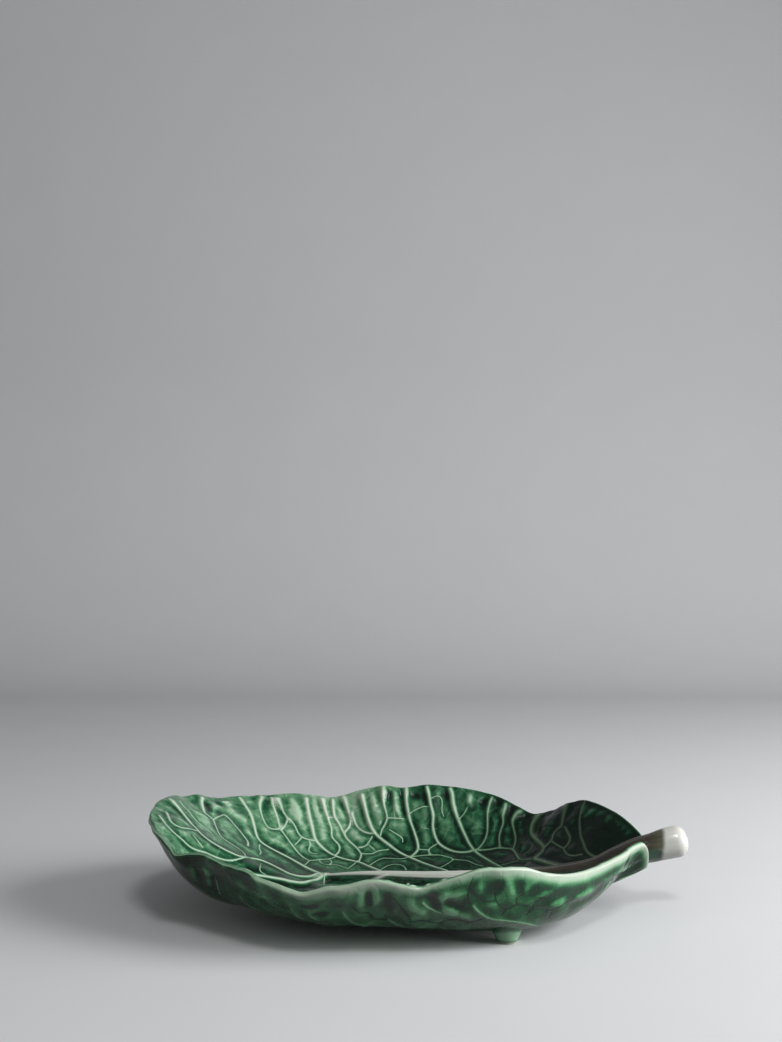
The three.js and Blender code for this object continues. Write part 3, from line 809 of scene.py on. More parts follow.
def baseLeaf():
    alongSteps, acrossSteps = leaf["gridAlong"], leaf["gridAcross"]
    parts = []
    faces = gridFaces(alongSteps, acrossSteps, 0, True)
    innerEdge = gridEdge(alongSteps, acrossSteps)
    u, v = discGrid(alongSteps, acrossSteps)
    u, v = u.ravel(), v.ravel()
    inner = np.ones(len(u))
    parts.append((u, v, inner, np.zeros(len(u))))
    rings = [innerEdge]
    total = len(u)
    for k in range(leaf["rimRings"]):
        angle = math.pi * (k + 1) / (leaf["rimRings"] + 1)
        side = math.copysign(abs(math.cos(angle)) ** leaf["ringSide"], math.cos(angle))
        stand = math.sin(angle) ** leaf["ringStand"]
        level = np.ones(len(innerEdge))
        parts.append((u[innerEdge], v[innerEdge], level * side, level * stand))
        rings.append(total + np.arange(len(innerEdge)))
        total += len(innerEdge)
    for upper, lower in zip(rings[:-1], rings[1:]):
        faces += np.stack([upper, lower, np.roll(lower, -1), np.roll(upper, -1)], -1).tolist()
    outerU, outerV = discGrid(alongSteps // 2, acrossSteps // 2)
    outerU, outerV = outerU.ravel(), outerV.ravel()
    parts.append((outerU, outerV, -np.ones(len(outerU)), np.zeros(len(outerU))))
    faces += gridFaces(alongSteps // 2, acrossSteps // 2, total, False)
    outerEdge = total + gridEdge(alongSteps // 2, acrossSteps // 2)
    last = rings[-1]
    here, middle, after = last[0::2], last[1::2], np.roll(last, -2)[0::2]
    nextOuter = np.roll(outerEdge, -1)
    faces += np.stack([here, outerEdge, middle], -1).tolist()
    faces += np.stack([middle, outerEdge, nextOuter], -1).tolist()
    faces += np.stack([middle, nextOuter, after], -1).tolist()
    along, across, side, stand = (np.concatenate(rows) for rows in zip(*parts))
    out = np.minimum(np.hypot(along, across), 1)
    turn = (np.arctan2(across, along) / (2 * np.pi)) % 1.0
    places, up = leafPlace(along, across, side, stand)
    insidePlaces, up = leafPlace(along, across, np.ones(len(along)))
    piece = makeObject("leaf", places, faces)
    giveAttribute(piece, "up", up)
    giveAttribute(piece, "out", out)
    giveAttribute(piece, "side", side)
    giveAttribute(piece, "insidePlace", insidePlaces)
    rim = rimLine(turn) + leafShift
    giveAttribute(piece, "rimPlace", rim)
    giveAttribute(piece, "rimDistance", np.linalg.norm(places - rim, axis=1))
    giveAttribute(piece, "margin", closedCurve(marginReach, turn))
    giveAttribute(piece, "along", along)
    shares = np.stack([along, across], -1)
    bases = []                       # for the inside and the outside: what casts and finds places on it
    for first, end, sign in ((0, len(u), 1), (len(places) - len(outerU), len(places), -1)):
        chosen = [face for face in faces if first <= min(face) and max(face) < end]
        tree = BVHTree.FromPolygons([Vector(place) for place in places], chosen)
        finder = KDTree(end - first)
        for k in range(first, end):
            finder.insert(Vector(places[k]), k)
        finder.balance()
        bases.append((tree, finder, shares, sign))
    return piece, bases


# The stalk runs on inside the dish as the midrib: shares of the leaf's half length and width,
# of the stalk's rise and of its radius.
stalk = {
    "radius": 11 * mm,
    "rise": 45 * mm,
    "reach": 28.5 * mm,
    "endRound": 9.5 * mm,
    "endSquare": (2.6, 2.2),         # how square the cut end's rounding is
    "endCap": 0.1,
    "sides": 72,
    "spacing": 0.9 * mm,
    "curveSteps": 60,
    "domeSteps": 12,
    "width": 1.06,                   # of its height, inside the leaf
    "freeNarrowing": 0.05,
    "freeStart": 150 * mm,           # where it leaves the leaf, and over what length
    "freeSpan": 12 * mm,
    "groovesWide": (0.018, 9, 0.7),  # depth, count and turn of the lengthways grooves
    "groovesFine": (0.012, 17, 0.0),
    "freeCalm": 0.85,                # how much of the grooves is gone on the free stalk
    "flare": 0.2,                    # how far its root spreads on the leaf
    "flareTurn": 2.0,
    "flareSpan": 0.42,
}
midribShares = [
    [-0.33, 0.2, 0.288, 0.06], [-0.3, 0.21, 0.312, 0.19], [-0.1, 0.16, 0.35, 0.4], [0.14, 0.13, 0.34, 0.5],
    [0.36, 0.12, 0.35, 0.58], [0.57, 0.1, 0.385, 0.65], [0.68, 0.08, 0.44, 0.71],
    [0.8, 0.06, 0.54, 0.75], [0.88, 0.04, 0.7, 0.79], [0.96, 0.03, 0.84, 0.83],
]
stalkShares = [[0.15, 0.03, 0.9, 0.9], [0.55, 0.03, 0.97, 0.98], [1, 0.03, 1.02, 1]]


def stalkRows():
    rows = []
    for along, across, up, radius in midribShares:
        rows.append([along * leaf["halfLength"], across * leaf["halfWidth"], up * stalk["rise"], radius])
    for past, across, up, radius in stalkShares:
        x = leaf["halfLength"] + past * stalk["reach"]
        rows.append([x, across * leaf["halfWidth"], up * stalk["rise"], radius])
    rows = np.array(rows)
    rows[:, 0] -= leaf["middle"]
    rows[:, 3] *= stalk["radius"]
    return rows


def buildStalk():
    run = smoothRun(stalkRows(), math.inf, stalk["curveSteps"])
    gone = lengthsAlong(run[:, :3])
    straight = gone[-1] - stalk["endRound"]
    body = np.linspace(0, straight, int(gone[-1] / stalk["spacing"]))
    swing = np.sin(np.linspace(0, 0.5, stalk["domeSteps"])[1:] * np.pi)
    stations = np.concatenate([body, gone[-1] - stalk["endRound"] * (1 - swing)])
    rows = sampledAt(stations, gone, run)
    past = np.maximum(stations - straight, 0) / stalk["endRound"]
    square, root = stalk["endSquare"]
    radius = rows[:, 3] * np.maximum(1 - past ** square, 0) ** (1 / root)
    middle = rows[:, :3]
    forward = unit(np.gradient(middle, axis=0))
    side = unit(np.cross(forward, np.array([0.0, 0.0, 1.0])))
    upward = np.cross(side, forward)
    angle = 2 * np.pi * np.arange(stalk["sides"]) / stalk["sides"]
    grooves = 1
    for depth, count, turn in (stalk["groovesWide"], stalk["groovesFine"]):
        grooves = grooves + depth * np.cos(count * angle + turn)
    free = np.clip((middle[:, 0] - stalk["freeStart"]) / stalk["freeSpan"], 0, 1)
    low = np.abs(np.angle(np.exp(1j * angle)))   # 0 on top, pi underneath
    flare = np.exp(-((low - stalk["flareTurn"]) / stalk["flareSpan"]) ** 2)
    rings = []
    for k in range(len(stations)):
        wide = stalk["width"] - stalk["freeNarrowing"] * free[k]
        shape = 1 + (grooves - 1) * (1 - stalk["freeCalm"] * free[k])
        shape = shape * (1 + stalk["flare"] * flare * (1 - free[k]))
        shape = 1 + (shape - 1) * (1 - past[k])
        around = upward[k] * np.cos(angle)[:, None] + side[k] * wide * np.sin(angle)[:, None]
        rings.append(middle[k] + radius[k] * shape[:, None] * around)
    endCap = middle[-1] + forward[-1] * radius[-1] * stalk["endCap"]
    points = np.vstack([*rings, middle[0], endCap])
    piece = makeObject("stalk_body", points, tubeFaces(len(stations), len(angle)))
    for name, values in (("upness", np.cos(angle)), ("backness", -np.sin(angle))):
        giveAttribute(piece, name, np.tile(values, len(stations)).tolist() + [0.0, 0.0])
    return piece


def meshOut(piece):                  # keeps what the modifiers make, as a plain mesh
    bpy.context.view_layer.update()
    evaluated = piece.evaluated_get(bpy.context.evaluated_depsgraph_get())
    mesh = bpy.data.meshes.new_from_object(evaluated)
    old = piece.data
    piece.modifiers.clear()
    piece.data = mesh
    bpy.data.meshes.remove(old)


# Sizes of the leaf's relief, by the modifier's own inputs.
relief = {
    "Main height": 1.4 * mm,
    "Main width": 1.5 * mm,
    "Side height": 1.1 * mm,
    "Side width": 1.3 * mm,
    "Fine height": 0.6 * mm,
    "Fine width": 1.0 * mm,
    "Fold height": 1.1 * mm,
    "Fold width": 2.5 * mm,
    "Hollow depth": 0.8 * mm,
    "Hollow width": 2.6 * mm,
    "Pillow height": 1.7 * mm,
    "Pillow reach": 5.0 * mm,
    "Pleat height": 1.3 * mm,
    "Pleats per metre": 75.0,
    "Rib height": 0.8 * mm,
    "Rib width": 1.4 * mm,
    "Line depth": 0.4 * mm,
    "Line width": 1.2 * mm,
    "Dent depth": 1.2 * mm,
    "Dent width": 2.4 * mm,
    "Lump height": 1.0 * mm,
    "Lumps per metre": 42.0,
    "Outer lump height": 0.5 * mm,
    "Outer lumps per metre": 60.0,
    "Wrinkle height": 1.1 * mm,
    "Wrinkles per metre": 115.0,
    "Fillet height": 1.4 * mm,       # where the midrib lies on the leaf
    "Fillet width": 2.6 * mm,
}
# Where the relief starts and ends, in shares of the way from the floor's middle to the rim.
reach = {
    "crest": (0.965, 1.0),           # folds, hollows and wrinkles end here
    "pillows": (0.9, 1.0),
    "pleats": (0.8, 1.0),
    "lumps": (0.3, 0.8),
    "ridges": (0.975, 1.0),          # veins grow lower here, by this share
    "ridgeLoss": 0.6,
    "sideLater": 0.4 * mm,           # how much less than a main vein other veins press the leaf down
    "fineLater": 1.5 * mm,
    "outerWrinkles": 0.5,
    "blur": 2,                       # steps that calm the relief
    "outerCalm": 0.7,                # how much less the outside is calmed: its cells are twice as large
    "fineBlur": 6,                   # steps of the mean that hollows and heights are told from
    "broadBlur": 50,
}


def startTree(name, objects, numbers):
    tree = bpy.data.node_groups.new(name, "GeometryNodeTree")

    def newSocket(label, kind, direction="INPUT"):
        return tree.interface.new_socket(name=label, in_out=direction, socket_type="NodeSocket" + kind)

    newSocket("Geometry", "Geometry")
    for label in objects:
        newSocket(label, "Object")
    for label, value in numbers.items():
        newSocket(label, "Float").default_value = value
    newSocket("Glaze", "Material")
    newSocket("Geometry", "Geometry", "OUTPUT")
    wiring = Wiring(tree)
    return tree, wiring, wiring.add("NodeGroupInput")


def buildRelief(objects):
    tree, wiring, given = startTree("leafRelief", objects, relief)
    add = wiring.add

    def named(name, kind="FLOAT"):
        return add("GeometryNodeInputNamedAttribute", {"data_type": kind}, {"Name": name})

    def stored(geometry, name, value, kind="FLOAT"):
        settings = {"data_type": kind, "domain": "POINT"}
        return add("GeometryNodeStoreNamedAttribute", settings, {0: geometry, "Name": name, "Value": value})

    def shapeOf(label):
        return add("GeometryNodeObjectInfo", inputs={"Object": given.other(label)}, output="Geometry")

    def nearest(label, source):      # the way to the nearest run, as if all were of thickness 1
        target = shapeOf(label)
        values = {0: target, "Source Position": source}
        found = add("GeometryNodeProximity", {"target_element": "EDGES"}, values, "Position")
        index = add("GeometryNodeSampleNearest", {"domain": "POINT"}, {0: target, "Sample Position": source})
        settings = {"data_type": "FLOAT", "domain": "POINT"}
        thick = add("GeometryNodeSampleIndex", settings, {0: target, "Value": named("thick"), "Index": index})
        offset = wiring.scaled(wiring.vector("SUBTRACT", found, source), 1.0 / thick)
        return offset, found.other("Distance") / thick, thick

    def swell(vector, density, height, detail, roughness):
        noise = wiring.noise(vector, given.other(density), detail, roughness)
        return (noise - 0.5) * 2.0 * given.other(height)

    def blurred(value, iterations, weight=1.0):
        values = {0: value, "Iterations": iterations, "Weight": weight}
        return add("GeometryNodeBlurAttribute", {"data_type": "FLOAT"}, values)

    place = add("GeometryNodeInputPosition")
    out = named("out")
    side = named("side")
    inside = side.ramp(-0.2, 0.9)
    outside = (-side).ramp(-0.2, 0.9)
    insidePlace = named("insidePlace", "FLOAT_VECTOR")
    rimPlace = named("rimPlace", "FLOAT_VECTOR")
    belowCrest = 1 - out.ramp(*reach["crest"])
    geometry = given.other("Geometry")

    distance = {}
    raised = {}
    kinds = [
        ("Main veins", "main", insidePlace, "Main height", "Main width"),
        ("Side veins", "side", insidePlace, "Side height", "Side width"),
        ("Fine veins", "fine", insidePlace, "Fine height", "Fine width"),
        ("Outer ribs", "rib", place, "Rib height", "Rib width"),
        ("Outer lines", "line", place, "Line depth", "Line width"),
        ("Rim folds", "rimFold", insidePlace, "Fold height", "Fold width"),
        ("Rim hollows", "rimHollow", insidePlace, "Hollow depth", "Hollow width"),
        ("Outer folds", "outerFold", place, "Fold height", "Fold width"),
        ("Outer dents", "dent", place, "Dent depth", "Dent width"),
    ]
    for label, key, source, height, width in kinds:
        offset, distance[key], thick = nearest(label, source)
        shape = distance[key].bell(given.other(width))
        if key in ("rimFold", "rimHollow", "outerFold", "dent"):
            shape = shape * belowCrest
        raised[key] = given.other(height) * thick * shape
        if key in ("main", "side", "fine", "rib", "line"):
            geometry = stored(geometry, key + "Offset", offset, "FLOAT_VECTOR")
            geometry = stored(geometry, key + "Distance", distance[key])
        else:
            geometry = stored(geometry, key, shape)
    stalkValues = {0: shapeOf("Stalk"), "Source Position": place}
    stalkDistance = add("GeometryNodeProximity", {"target_element": "FACES"}, stalkValues, "Distance")
    geometry = stored(geometry, "stalkDistance", stalkDistance)

    ridges = raised["main"].most(raised["side"]).most(raised["fine"]).most(raised["rimFold"])
    anyDistance = distance["main"].least(distance["side"] + reach["sideLater"])
    anyDistance = anyDistance.least(distance["fine"] + reach["fineLater"])
    pillowShape = 1 - anyDistance.bell(given.other("Pillow reach"))
    pillow = given.other("Pillow height") * pillowShape * (1 - out.ramp(*reach["pillows"]))
    pleats = swell(rimPlace, "Pleats per metre", "Pleat height", 1.0, 0.4)
    lumps = swell(insidePlace, "Lumps per metre", "Lump height", 1.0, 0.4)
    sheet = pleats * out.ramp(*reach["pleats"]) + lumps * out.ramp(*reach["lumps"])
    wrinkles = swell(place, "Wrinkles per metre", "Wrinkle height", 2.0, 0.5)
    fillet = given.other("Fillet height") * stalkDistance.bell(given.other("Fillet width"))
    insideLift = ridges * (1 - out.ramp(*reach["ridges"]) * reach["ridgeLoss"]) - raised["rimHollow"]
    insideLift = insideLift + pillow + fillet + wrinkles * pillowShape * belowCrest
    outsideLift = raised["rib"].most(raised["outerFold"]) - raised["dent"] - raised["line"]
    outsideLift = outsideLift + wrinkles * belowCrest * reach["outerWrinkles"]
    outsideLift = outsideLift + swell(place, "Outer lumps per metre", "Outer lump height", 1.0, 0.4)
    lift = sheet + insideLift * inside - outsideLift * outside
    outward = (sheet + insideLift) * inside + (outsideLift - sheet) * outside
    calm = 1 - outside * reach["outerCalm"]
    geometry = stored(geometry, "lift", blurred(lift, reach["blur"], calm))
    geometry = stored(geometry, "outward", blurred(outward, reach["blur"], calm))
    outward = named("outward")
    geometry = stored(geometry, "poolFine", blurred(outward, reach["fineBlur"]) - outward)
    geometry = stored(geometry, "poolBroad", blurred(outward, reach["broadBlur"]) - outward)
    move = wiring.scaled(named("up", "FLOAT_VECTOR"), named("lift"))
    geometry = add("GeometryNodeSetPosition", inputs={"Geometry": geometry, "Offset": move})
    geometry = add("GeometryNodeRealizeInstances", inputs={"Geometry": geometry})
    geometry = add("GeometryNodeSetMaterial", inputs={"Geometry": geometry, "Material": given.other("Glaze")})
    add("NodeGroupOutput", inputs={"Geometry": geometry})
    return tree


def addNodes(piece, tree, values):
    modifier = piece.modifiers.new(tree.name, "NODES")
    modifier.node_group = tree
    for item in tree.interface.items_tree:
        if item.in_out == "INPUT" and item.name in values:
            modifier[item.identifier] = values[item.name]


def startMaterial(name):
    material = bpy.data.materials.new(name)
    material.use_nodes = True
    wiring = Wiring(material.node_tree)
    coordinates = wiring.add("ShaderNodeTexCoord", output="Object")
    return material, wiring, coordinates


def finishMaterial(wiring, values):
    shader = wiring.add("ShaderNodeBsdfPrincipled", inputs=values)
    wiring.add("ShaderNodeOutputMaterial", inputs={"Surface": shader})


# Colours of the glaze, from where it runs thin to where it pools.
glaze = {
    "cream": tone(214, 220, 206),
    "pale": tone(160, 194, 164),
    "middle": tone(92, 142, 105),
    "deep": tone(32, 90, 59),
    "pool": tone(5, 30, 19),
    # painted shade on the veins by the stalk, a darker brown
    "veinShade": tone(80, 76, 62),        # of the veins by the stalk
    "roughness": 0.09,
}


def glazeRamp(wiring, depth):
    stops = [
        (0.0, glaze["cream"]),
        (0.24, glaze["pale"]),
        (0.48, glaze["middle"]),
        (0.72, glaze["deep"]),
        (1.0, glaze["pool"]),
    ]
    return wiring.add("ShaderNodeValToRGB", {"stops": stops}, {0: depth}, "Color")


# Where the leaf's glaze pools and runs thin, and where shade and light are painted on it. Plain
# numbers are depths, in shares of the way from cream to the darkest tone. Groups of three are where
# a change starts, where it ends and how deep it gets, on the way out to the rim, or along from the
# tip (-1) to the stalk (1).
leafLook = {
    "lines": {"main": 1.2 * mm, "side": 0.85 * mm, "fine": 0.6 * mm},
    "outerLines": {"rib": 0.8 * mm, "line": 0.6 * mm},
    "cell": 1.5 * mm,                # of the grid, which says how far a line's place can be trusted
    "outerCell": 2.2 * mm,
    "lineShares": (0.92, 0.85),      # of side and fine veins, against the main ones
    "poolWidths": (2.4 * mm, 1.8 * mm),      # of the glaze that pools beside main and side veins
    "sidePool": 0.8,
    "crest": (0.8 * mm, 2.2 * mm, 0.1),      # where the crest's thin glaze starts and ends
    "crestReach": 7.0 * mm,
    "marginSpan": (0.3, 1.1),
    "netPerMetre": 82.0,             # the finest net of veins, only painted
    "netWidth": 0.09,
    "netDrift": 5.0 * mm,
    "streaksPerMetre": 170.0,
    "streakSpan": (0.72, 0.95),
    "usual": 0.5,
    "fine": (0.6, 0.32, -0.26),      # for each millimetre under its surroundings, most and least
    "broad": (0.16, 0.2, -0.2),
    "floor": (0.1, 0.5, 0.32),       # counted from the rim inwards
    "mottle": 0.14,
    "cloud": 0.95,
    "drift": 0.24,
    "streak": 0.16,
    "pool": 0.28,
    "hollow": 0.1,
    "outerHollow": 0.26,
    "fold": 0.06,
    "outerFold": 0.05,
    "net": 0.1,
    "outerNet": 0.05,
    "line": 0.26,
    "outer": 0.06,                   # the outside, darker, and more so towards the stalk; painted shade towards the tip
    "outerStalk": (0.15, 0.6, 0.2),
    "outerEnd": (0.5, 0.75, 0.16),
    "outerTipShade": (0.45, 0.85, 0.3),   # counted towards the tip, as "tip" is
    # painted shade, deeper on the stalk half of the inside
    "stalkHalfShade": (-0.3, 0.1, 0.2),
    "tip": (0.3, 0.8, 0.1),
    "paintedLightWall": (0.72, 0.92, 0.28),     # painted light on the wall, left of the middle
    "paintedLightWallAlong": (0.32, 0.26),  # how far left, and its width
    "beside": 0.3,                   # beside the midrib
    "besideWidth": 3.0 * mm,
    "shade": 0.5,                    # painted shade on the inside towards the stalk, and paler folds in it
    "shadeSpan": (0.15, 0.8),
    "shadeFold": 0.34,
    "most": 1.0,
    "outerLess": 0.06,
    "least": 0.21,
    "bare": 0.94,                    # how much of the glaze is gone on the veins
    "bareLess": (-0.1, 0.8, 0.36),
    "marginBare": 0.74,
    "marginMore": (0.2, 0.8, 0.14),
    "crestBare": 0.42,
    "richer": (0.62, 1.06, 0.76),
    "marginRich": 1.13,
    # how far the veins in the painted shade take that colour
    "veinShade": 0.85,
    "duller": 0.16,                  # roughness under the back rim, where the lamps would glint
    "dullerSpan": (0.8, 0.92),
    "dullerAlong": (-0.1, 0.15),
    "coat": 0.18,
}


def lineOf(wiring, key, width, cell):    # 1 on the middle of a vein, 0 at its edge
    length = wiring.vector("LENGTH", wiring.attribute(key + "Offset", "Vector"), output="Value")
    near = 1 - (wiring.attribute(key + "Distance") - length).ramp(0.55 * cell, 0.9 * cell)
    return length.bell(width) * near


def leafGlaze():
    look = leafLook

    def change(way, key):
        start, end, most = look[key]
        return way.ramp(start, end) * most

    material, wiring, place = startMaterial("leafGlaze")
    inside = wiring.attribute("side").ramp(-0.3, 0.5)
    outside = 1 - inside
    out = wiring.attribute("out")
    along = wiring.attribute("along")
    lines = {key: lineOf(wiring, key, width, look["cell"]) * inside for key, width in look["lines"].items()}
    for key, width in look["outerLines"].items():
        lines[key] = lineOf(wiring, key, width, look["outerCell"]) * outside
    # glaze pooled beside main and side veins, deepened with painted shade there
    pools = wiring.attribute("mainDistance").bell(look["poolWidths"][0])
    sidePools = wiring.attribute("sideDistance").bell(look["poolWidths"][1])
    pools = pools.most(sidePools * look["sidePool"]) * inside
    sideShare, fineShare = look["lineShares"]
    veins = lines["main"].most(lines["side"] * sideShare).most(lines["fine"] * fineShare).most(lines["rib"])
    folds = wiring.attribute("rimFold") * inside + wiring.attribute("outerFold") * outside
    hollows = wiring.attribute("rimHollow") * inside + wiring.attribute("dent") * outside
    rimDistance = wiring.attribute("rimDistance")
    marginWidth = wiring.attribute("margin")
    crestStart, crestEnd, crestGain = look["crest"]
    crest = 1 - rimDistance.ramp(crestStart, crestEnd + marginWidth * crestGain)
    crest = crest * (marginWidth / look["crestReach"]).least(1.0)
    margin = (1 - (rimDistance / marginWidth).ramp(*look["marginSpan"])) * outside
    drifted = wiring.scaled(wiring.noise(place, 90.0, output="Color"), look["netDrift"])
    netPlace = wiring.vector("ADD", place, drifted)
    netValues = {"Vector": netPlace, "Scale": look["netPerMetre"], "Randomness": 0.9}
    cells = wiring.add("ShaderNodeTexVoronoi", {"feature": "DISTANCE_TO_EDGE"}, netValues, "Distance")
    net = 1 - cells.ramp(0.0, look["netWidth"])
    netInside = net * inside * (1 - veins)
    netOutside = net * outside * (1 - crest)
    rimPlace = wiring.scaled(wiring.attribute("rimPlace", "Vector"), look["streaksPerMetre"])
    streakPlace = wiring.vector("ADD", rimPlace, wiring.scaled(place, 20.0))
    streaks = (wiring.noise(streakPlace, 1.0, 3.0, 0.6) - 0.5) * out.ramp(*look["streakSpan"])
    warp = wiring.noise(place, 60.0, 2.0, 0.5) - 0.5
    mottle = wiring.noise(place, 210.0, 3.0, 0.6) - 0.5
    cloud = wiring.noise(place, 75.0, 4.0, 0.62) - 0.5
    drift = wiring.noise(place, 24.0, 2.0, 0.5) - 0.5
    depth = look["usual"]
    for key in ("fine", "broad"):
        gain, most, least = look[key]
        under = wiring.attribute("pool" + key.capitalize()) / mm
        depth = depth + (under * gain).least(most).most(least)
    depth = depth + change(1 - out, "floor") * inside
    depth = depth + mottle * look["mottle"] + cloud * look["cloud"] + drift * look["drift"]
    depth = depth + streaks * inside * look["streak"] + pools * look["pool"]
    # hollows darker with pooled glaze; the outside's dents also with painted shade
    depth = depth + hollows * (look["hollow"] + outside * look["outerHollow"])
    depth = depth - folds * (look["fold"] + outside * look["outerFold"])
    depth = depth - netInside * look["net"] + netOutside * look["outerNet"] + lines["line"] * look["line"]
    # the outside darker towards the stalk, and painted shade on it towards the tip
    outer = change(along, "outerStalk") + change(along, "outerEnd") + change(-along, "outerTipShade")
    middle, width = look["paintedLightWallAlong"]
    # painted light: the wall left of the middle made paler
    paintedLightWall = change(out, "paintedLightWall") * (along + middle).bell(width)
    # inside: painted shade deeper on the stalk half, darker towards the tip, less the painted light on the
    # wall
    inner = change(along, "stalkHalfShade") + change(-along, "tip") - paintedLightWall
    depth = depth + (outer + look["outer"]) * outside + inner * inside
    depth = depth + wiring.attribute("stalkDistance").bell(look["besideWidth"]) * look["beside"]
    # painted shade: the inside darker towards the stalk, with its folds paler in it
    shade = along.ramp(*look["shadeSpan"]) * inside
    depth = (depth + shade * look["shade"]).least(look["most"] - outside * look["outerLess"])
    depth = depth - folds * shade * look["shadeFold"]
    bare = veins * (look["bare"] - change(along, "bareLess") * inside)
    pale = margin * (look["marginBare"] + change(along, "marginMore"))
    depth = depth.most(look["least"]) * (1 - bare) * (1 - pale) * (1 - crest * look["crestBare"])
    colour = glazeRamp(wiring, depth.clamped())
    richer = wiring.vector("MULTIPLY", colour, look["richer"])
    colour = wiring.mixed(outside * (1 - pale * look["marginRich"]), colour, richer)
    # veins inside the painted shade towards the stalk go over to a darker colour
    colour = wiring.mixed(veins * shade * look["veinShade"], colour, glaze["veinShade"])
    height = lines["main"] * 0.4 + lines["side"] * 0.4 + lines["fine"] * 0.35 + lines["rib"] * 0.35
    height = height + netInside * 0.08 - netOutside * 0.1 - lines["line"] * 0.35
    height = height + mottle * 0.1 + warp * 0.5 + streaks * inside * 0.15
    smudge = wiring.noise(place, 70.0, 3.0, 0.6)
    duller = out.ramp(*look["dullerSpan"]) * along.ramp(*look["dullerAlong"]) * inside
    finishMaterial(wiring, {
        "Base Color": colour,
        "Roughness": glaze["roughness"] + smudge * 0.1 + duller * look["duller"],
        "IOR": 1.46,
        "Specular IOR Level": 0.3,
        "Coat Weight": (1 - duller) * look["coat"],
        "Coat Roughness": 0.04,
        "Normal": wiring.bump(height * mm),
    })
    return material


# The stalk's glaze: places along the dish, in metres from its middle, and pairs of colours that
# its streaks go between.
stalkLook = {
    "streaks": (14.0, 190.0, 190.0),
    "flankSpan": (0.4, 0.66),        # where the midrib's flank turns green
    "thinFlank": 0.2,
    "backFlank": 0.9,
    "shadedBrownSpan": (0.03, 0.09),       # where the midrib goes over from bare to brown
    "freeSpan": (0.146, 0.157),      # where the midrib goes over to the free stalk
    "neckSpan": (0.1605, 0.1640),    # end of the green under the leaf
    "neckSlope": 8.0 * mm,
    "oliveSpan": (0.157, 0.168),
    "dipSpan": (0.1664, 0.1696),     # edge of the white end
    "bare": (tone(194, 199, 188), tone(216, 220, 210)),
    # the glaze's own dark tone, darkened further with painted shade
    "shadedBrown": (tone(44, 40, 31), tone(70, 64, 51)),
    "olive": (tone(70, 70, 52), tone(104, 106, 82)),
    "neck": tone(4, 62, 38),
    "white": (tone(220, 220, 212), tone(229, 229, 222)),
}


def stalkGlaze():
    look = stalkLook
    material, wiring, place = startMaterial("stalkGlaze")
    x = wiring.part(place, "X")
    upness = wiring.attribute("upness")
    streaks = wiring.noise(wiring.vector("MULTIPLY", place, look["streaks"]), 1.0, 3.0, 0.6)
    mottle = wiring.noise(place, 160.0, 3.0, 0.6)
    streak, speck = streaks - 0.5, mottle - 0.5
    grain = streaks.ramp(0.3, 0.7)
    bare, shadedBrown, olive = (wiring.mixed(grain, *look[key]) for key in ("bare", "shadedBrown", "olive"))
    green = wiring.mixed(mottle.ramp(0.3, 0.7), glaze["deep"], glaze["pool"])
    white = wiring.mixed(mottle.ramp(0.2, 0.8), *look["white"])
    back = wiring.attribute("backness").ramp(0.0, 0.6) * look["backFlank"]
    thin = (0.02 - x).ramp(0.0, 0.08) * look["thinFlank"]
    # the midrib's flanks go green: pooled glaze, with painted shade on its sides
    flank = (1 - upness + thin - back).ramp(*look["flankSpan"])
    # the midrib goes over from bare to its darker tone with painted shade towards the stalk
    shown = wiring.mixed((x + streak * 0.06).ramp(*look["shadedBrownSpan"]), bare, shadedBrown)
    # roots of two main veins of the front side, on the midrib's flank
    lateral = (x + 24.2 * mm + (0.6 - upness) * 9.5 * mm).bell(2.6 * mm) * (0.85 - upness).ramp(0.0, 0.2)
    second = (x + 0.6 * mm - (0.26 + upness) * 5.0 * mm).bell(0.9 * mm) * (-0.2 - upness).ramp(0.0, 0.1)
    lateral = lateral.most(second)
    inner = wiring.mixed((flank + streak * 0.3).clamped() * (1 - lateral * 0.85), shown, green)
    low = (1 - upness).ramp(0.5, 1.7)
    nearLeaf = 1 - (x - low * look["neckSlope"] + speck * 3.0 * mm).ramp(*look["neckSpan"])
    top = wiring.mixed((x + speck * 4.0 * mm).ramp(*look["oliveSpan"]), shadedBrown, olive)
    collar = wiring.mixed(nearLeaf * low.ramp(0.1, 0.4), top, look["neck"])
    outer = wiring.mixed(x.ramp(*look["freeSpan"]), inner, collar)
    dipped = (x - upness * 0.9 * mm + speck * 1.6 * mm).ramp(*look["dipSpan"])
    height = streak * 0.5 * (1 - dipped) + speck * 0.12 + dipped * 0.35 + lateral * 0.5
    finishMaterial(wiring, {
        "Base Color": wiring.mixed(dipped, outer, white),
        "Roughness": 0.16 + mottle * 0.1,
        "IOR": 1.52,
        "Coat Weight": 0.35,
        "Coat Roughness": 0.05,
        "Normal": wiring.bump(height * mm),
    })
    return material


leafFinish = leafGlaze()
stalkFinish = stalkGlaze()

stalkPiece = buildStalk()
stalkPiece.data.materials.append(stalkFinish)
print("stalk made")

leafPiece, (insideBase, outsideBase) = baseLeaf()
helpers = {
    "Main veins": runObject("mainVeins", mainVeins, insideBase, True, frontVeins),
    "Side veins": runObject("sideVeins", sideVeins, insideBase),
    "Fine veins": runObject("fineVeins", fineVeins, insideBase),
    "Rim folds": runObject("rimFolds", rimFolds, insideBase),
    "Rim hollows": runObject("rimHollows", rimHollows, insideBase),
    "Outer ribs": runObject("outerRibs", outerRibs, outsideBase),
    "Outer lines": runObject("outerLines", outerLines, outsideBase),
    "Outer folds": runObject("outerFolds", outerFolds, outsideBase),
    "Outer dents": runObject("outerDents", outerHollows, outsideBase),
    "Stalk": stalkPiece,
}
print("runs placed")


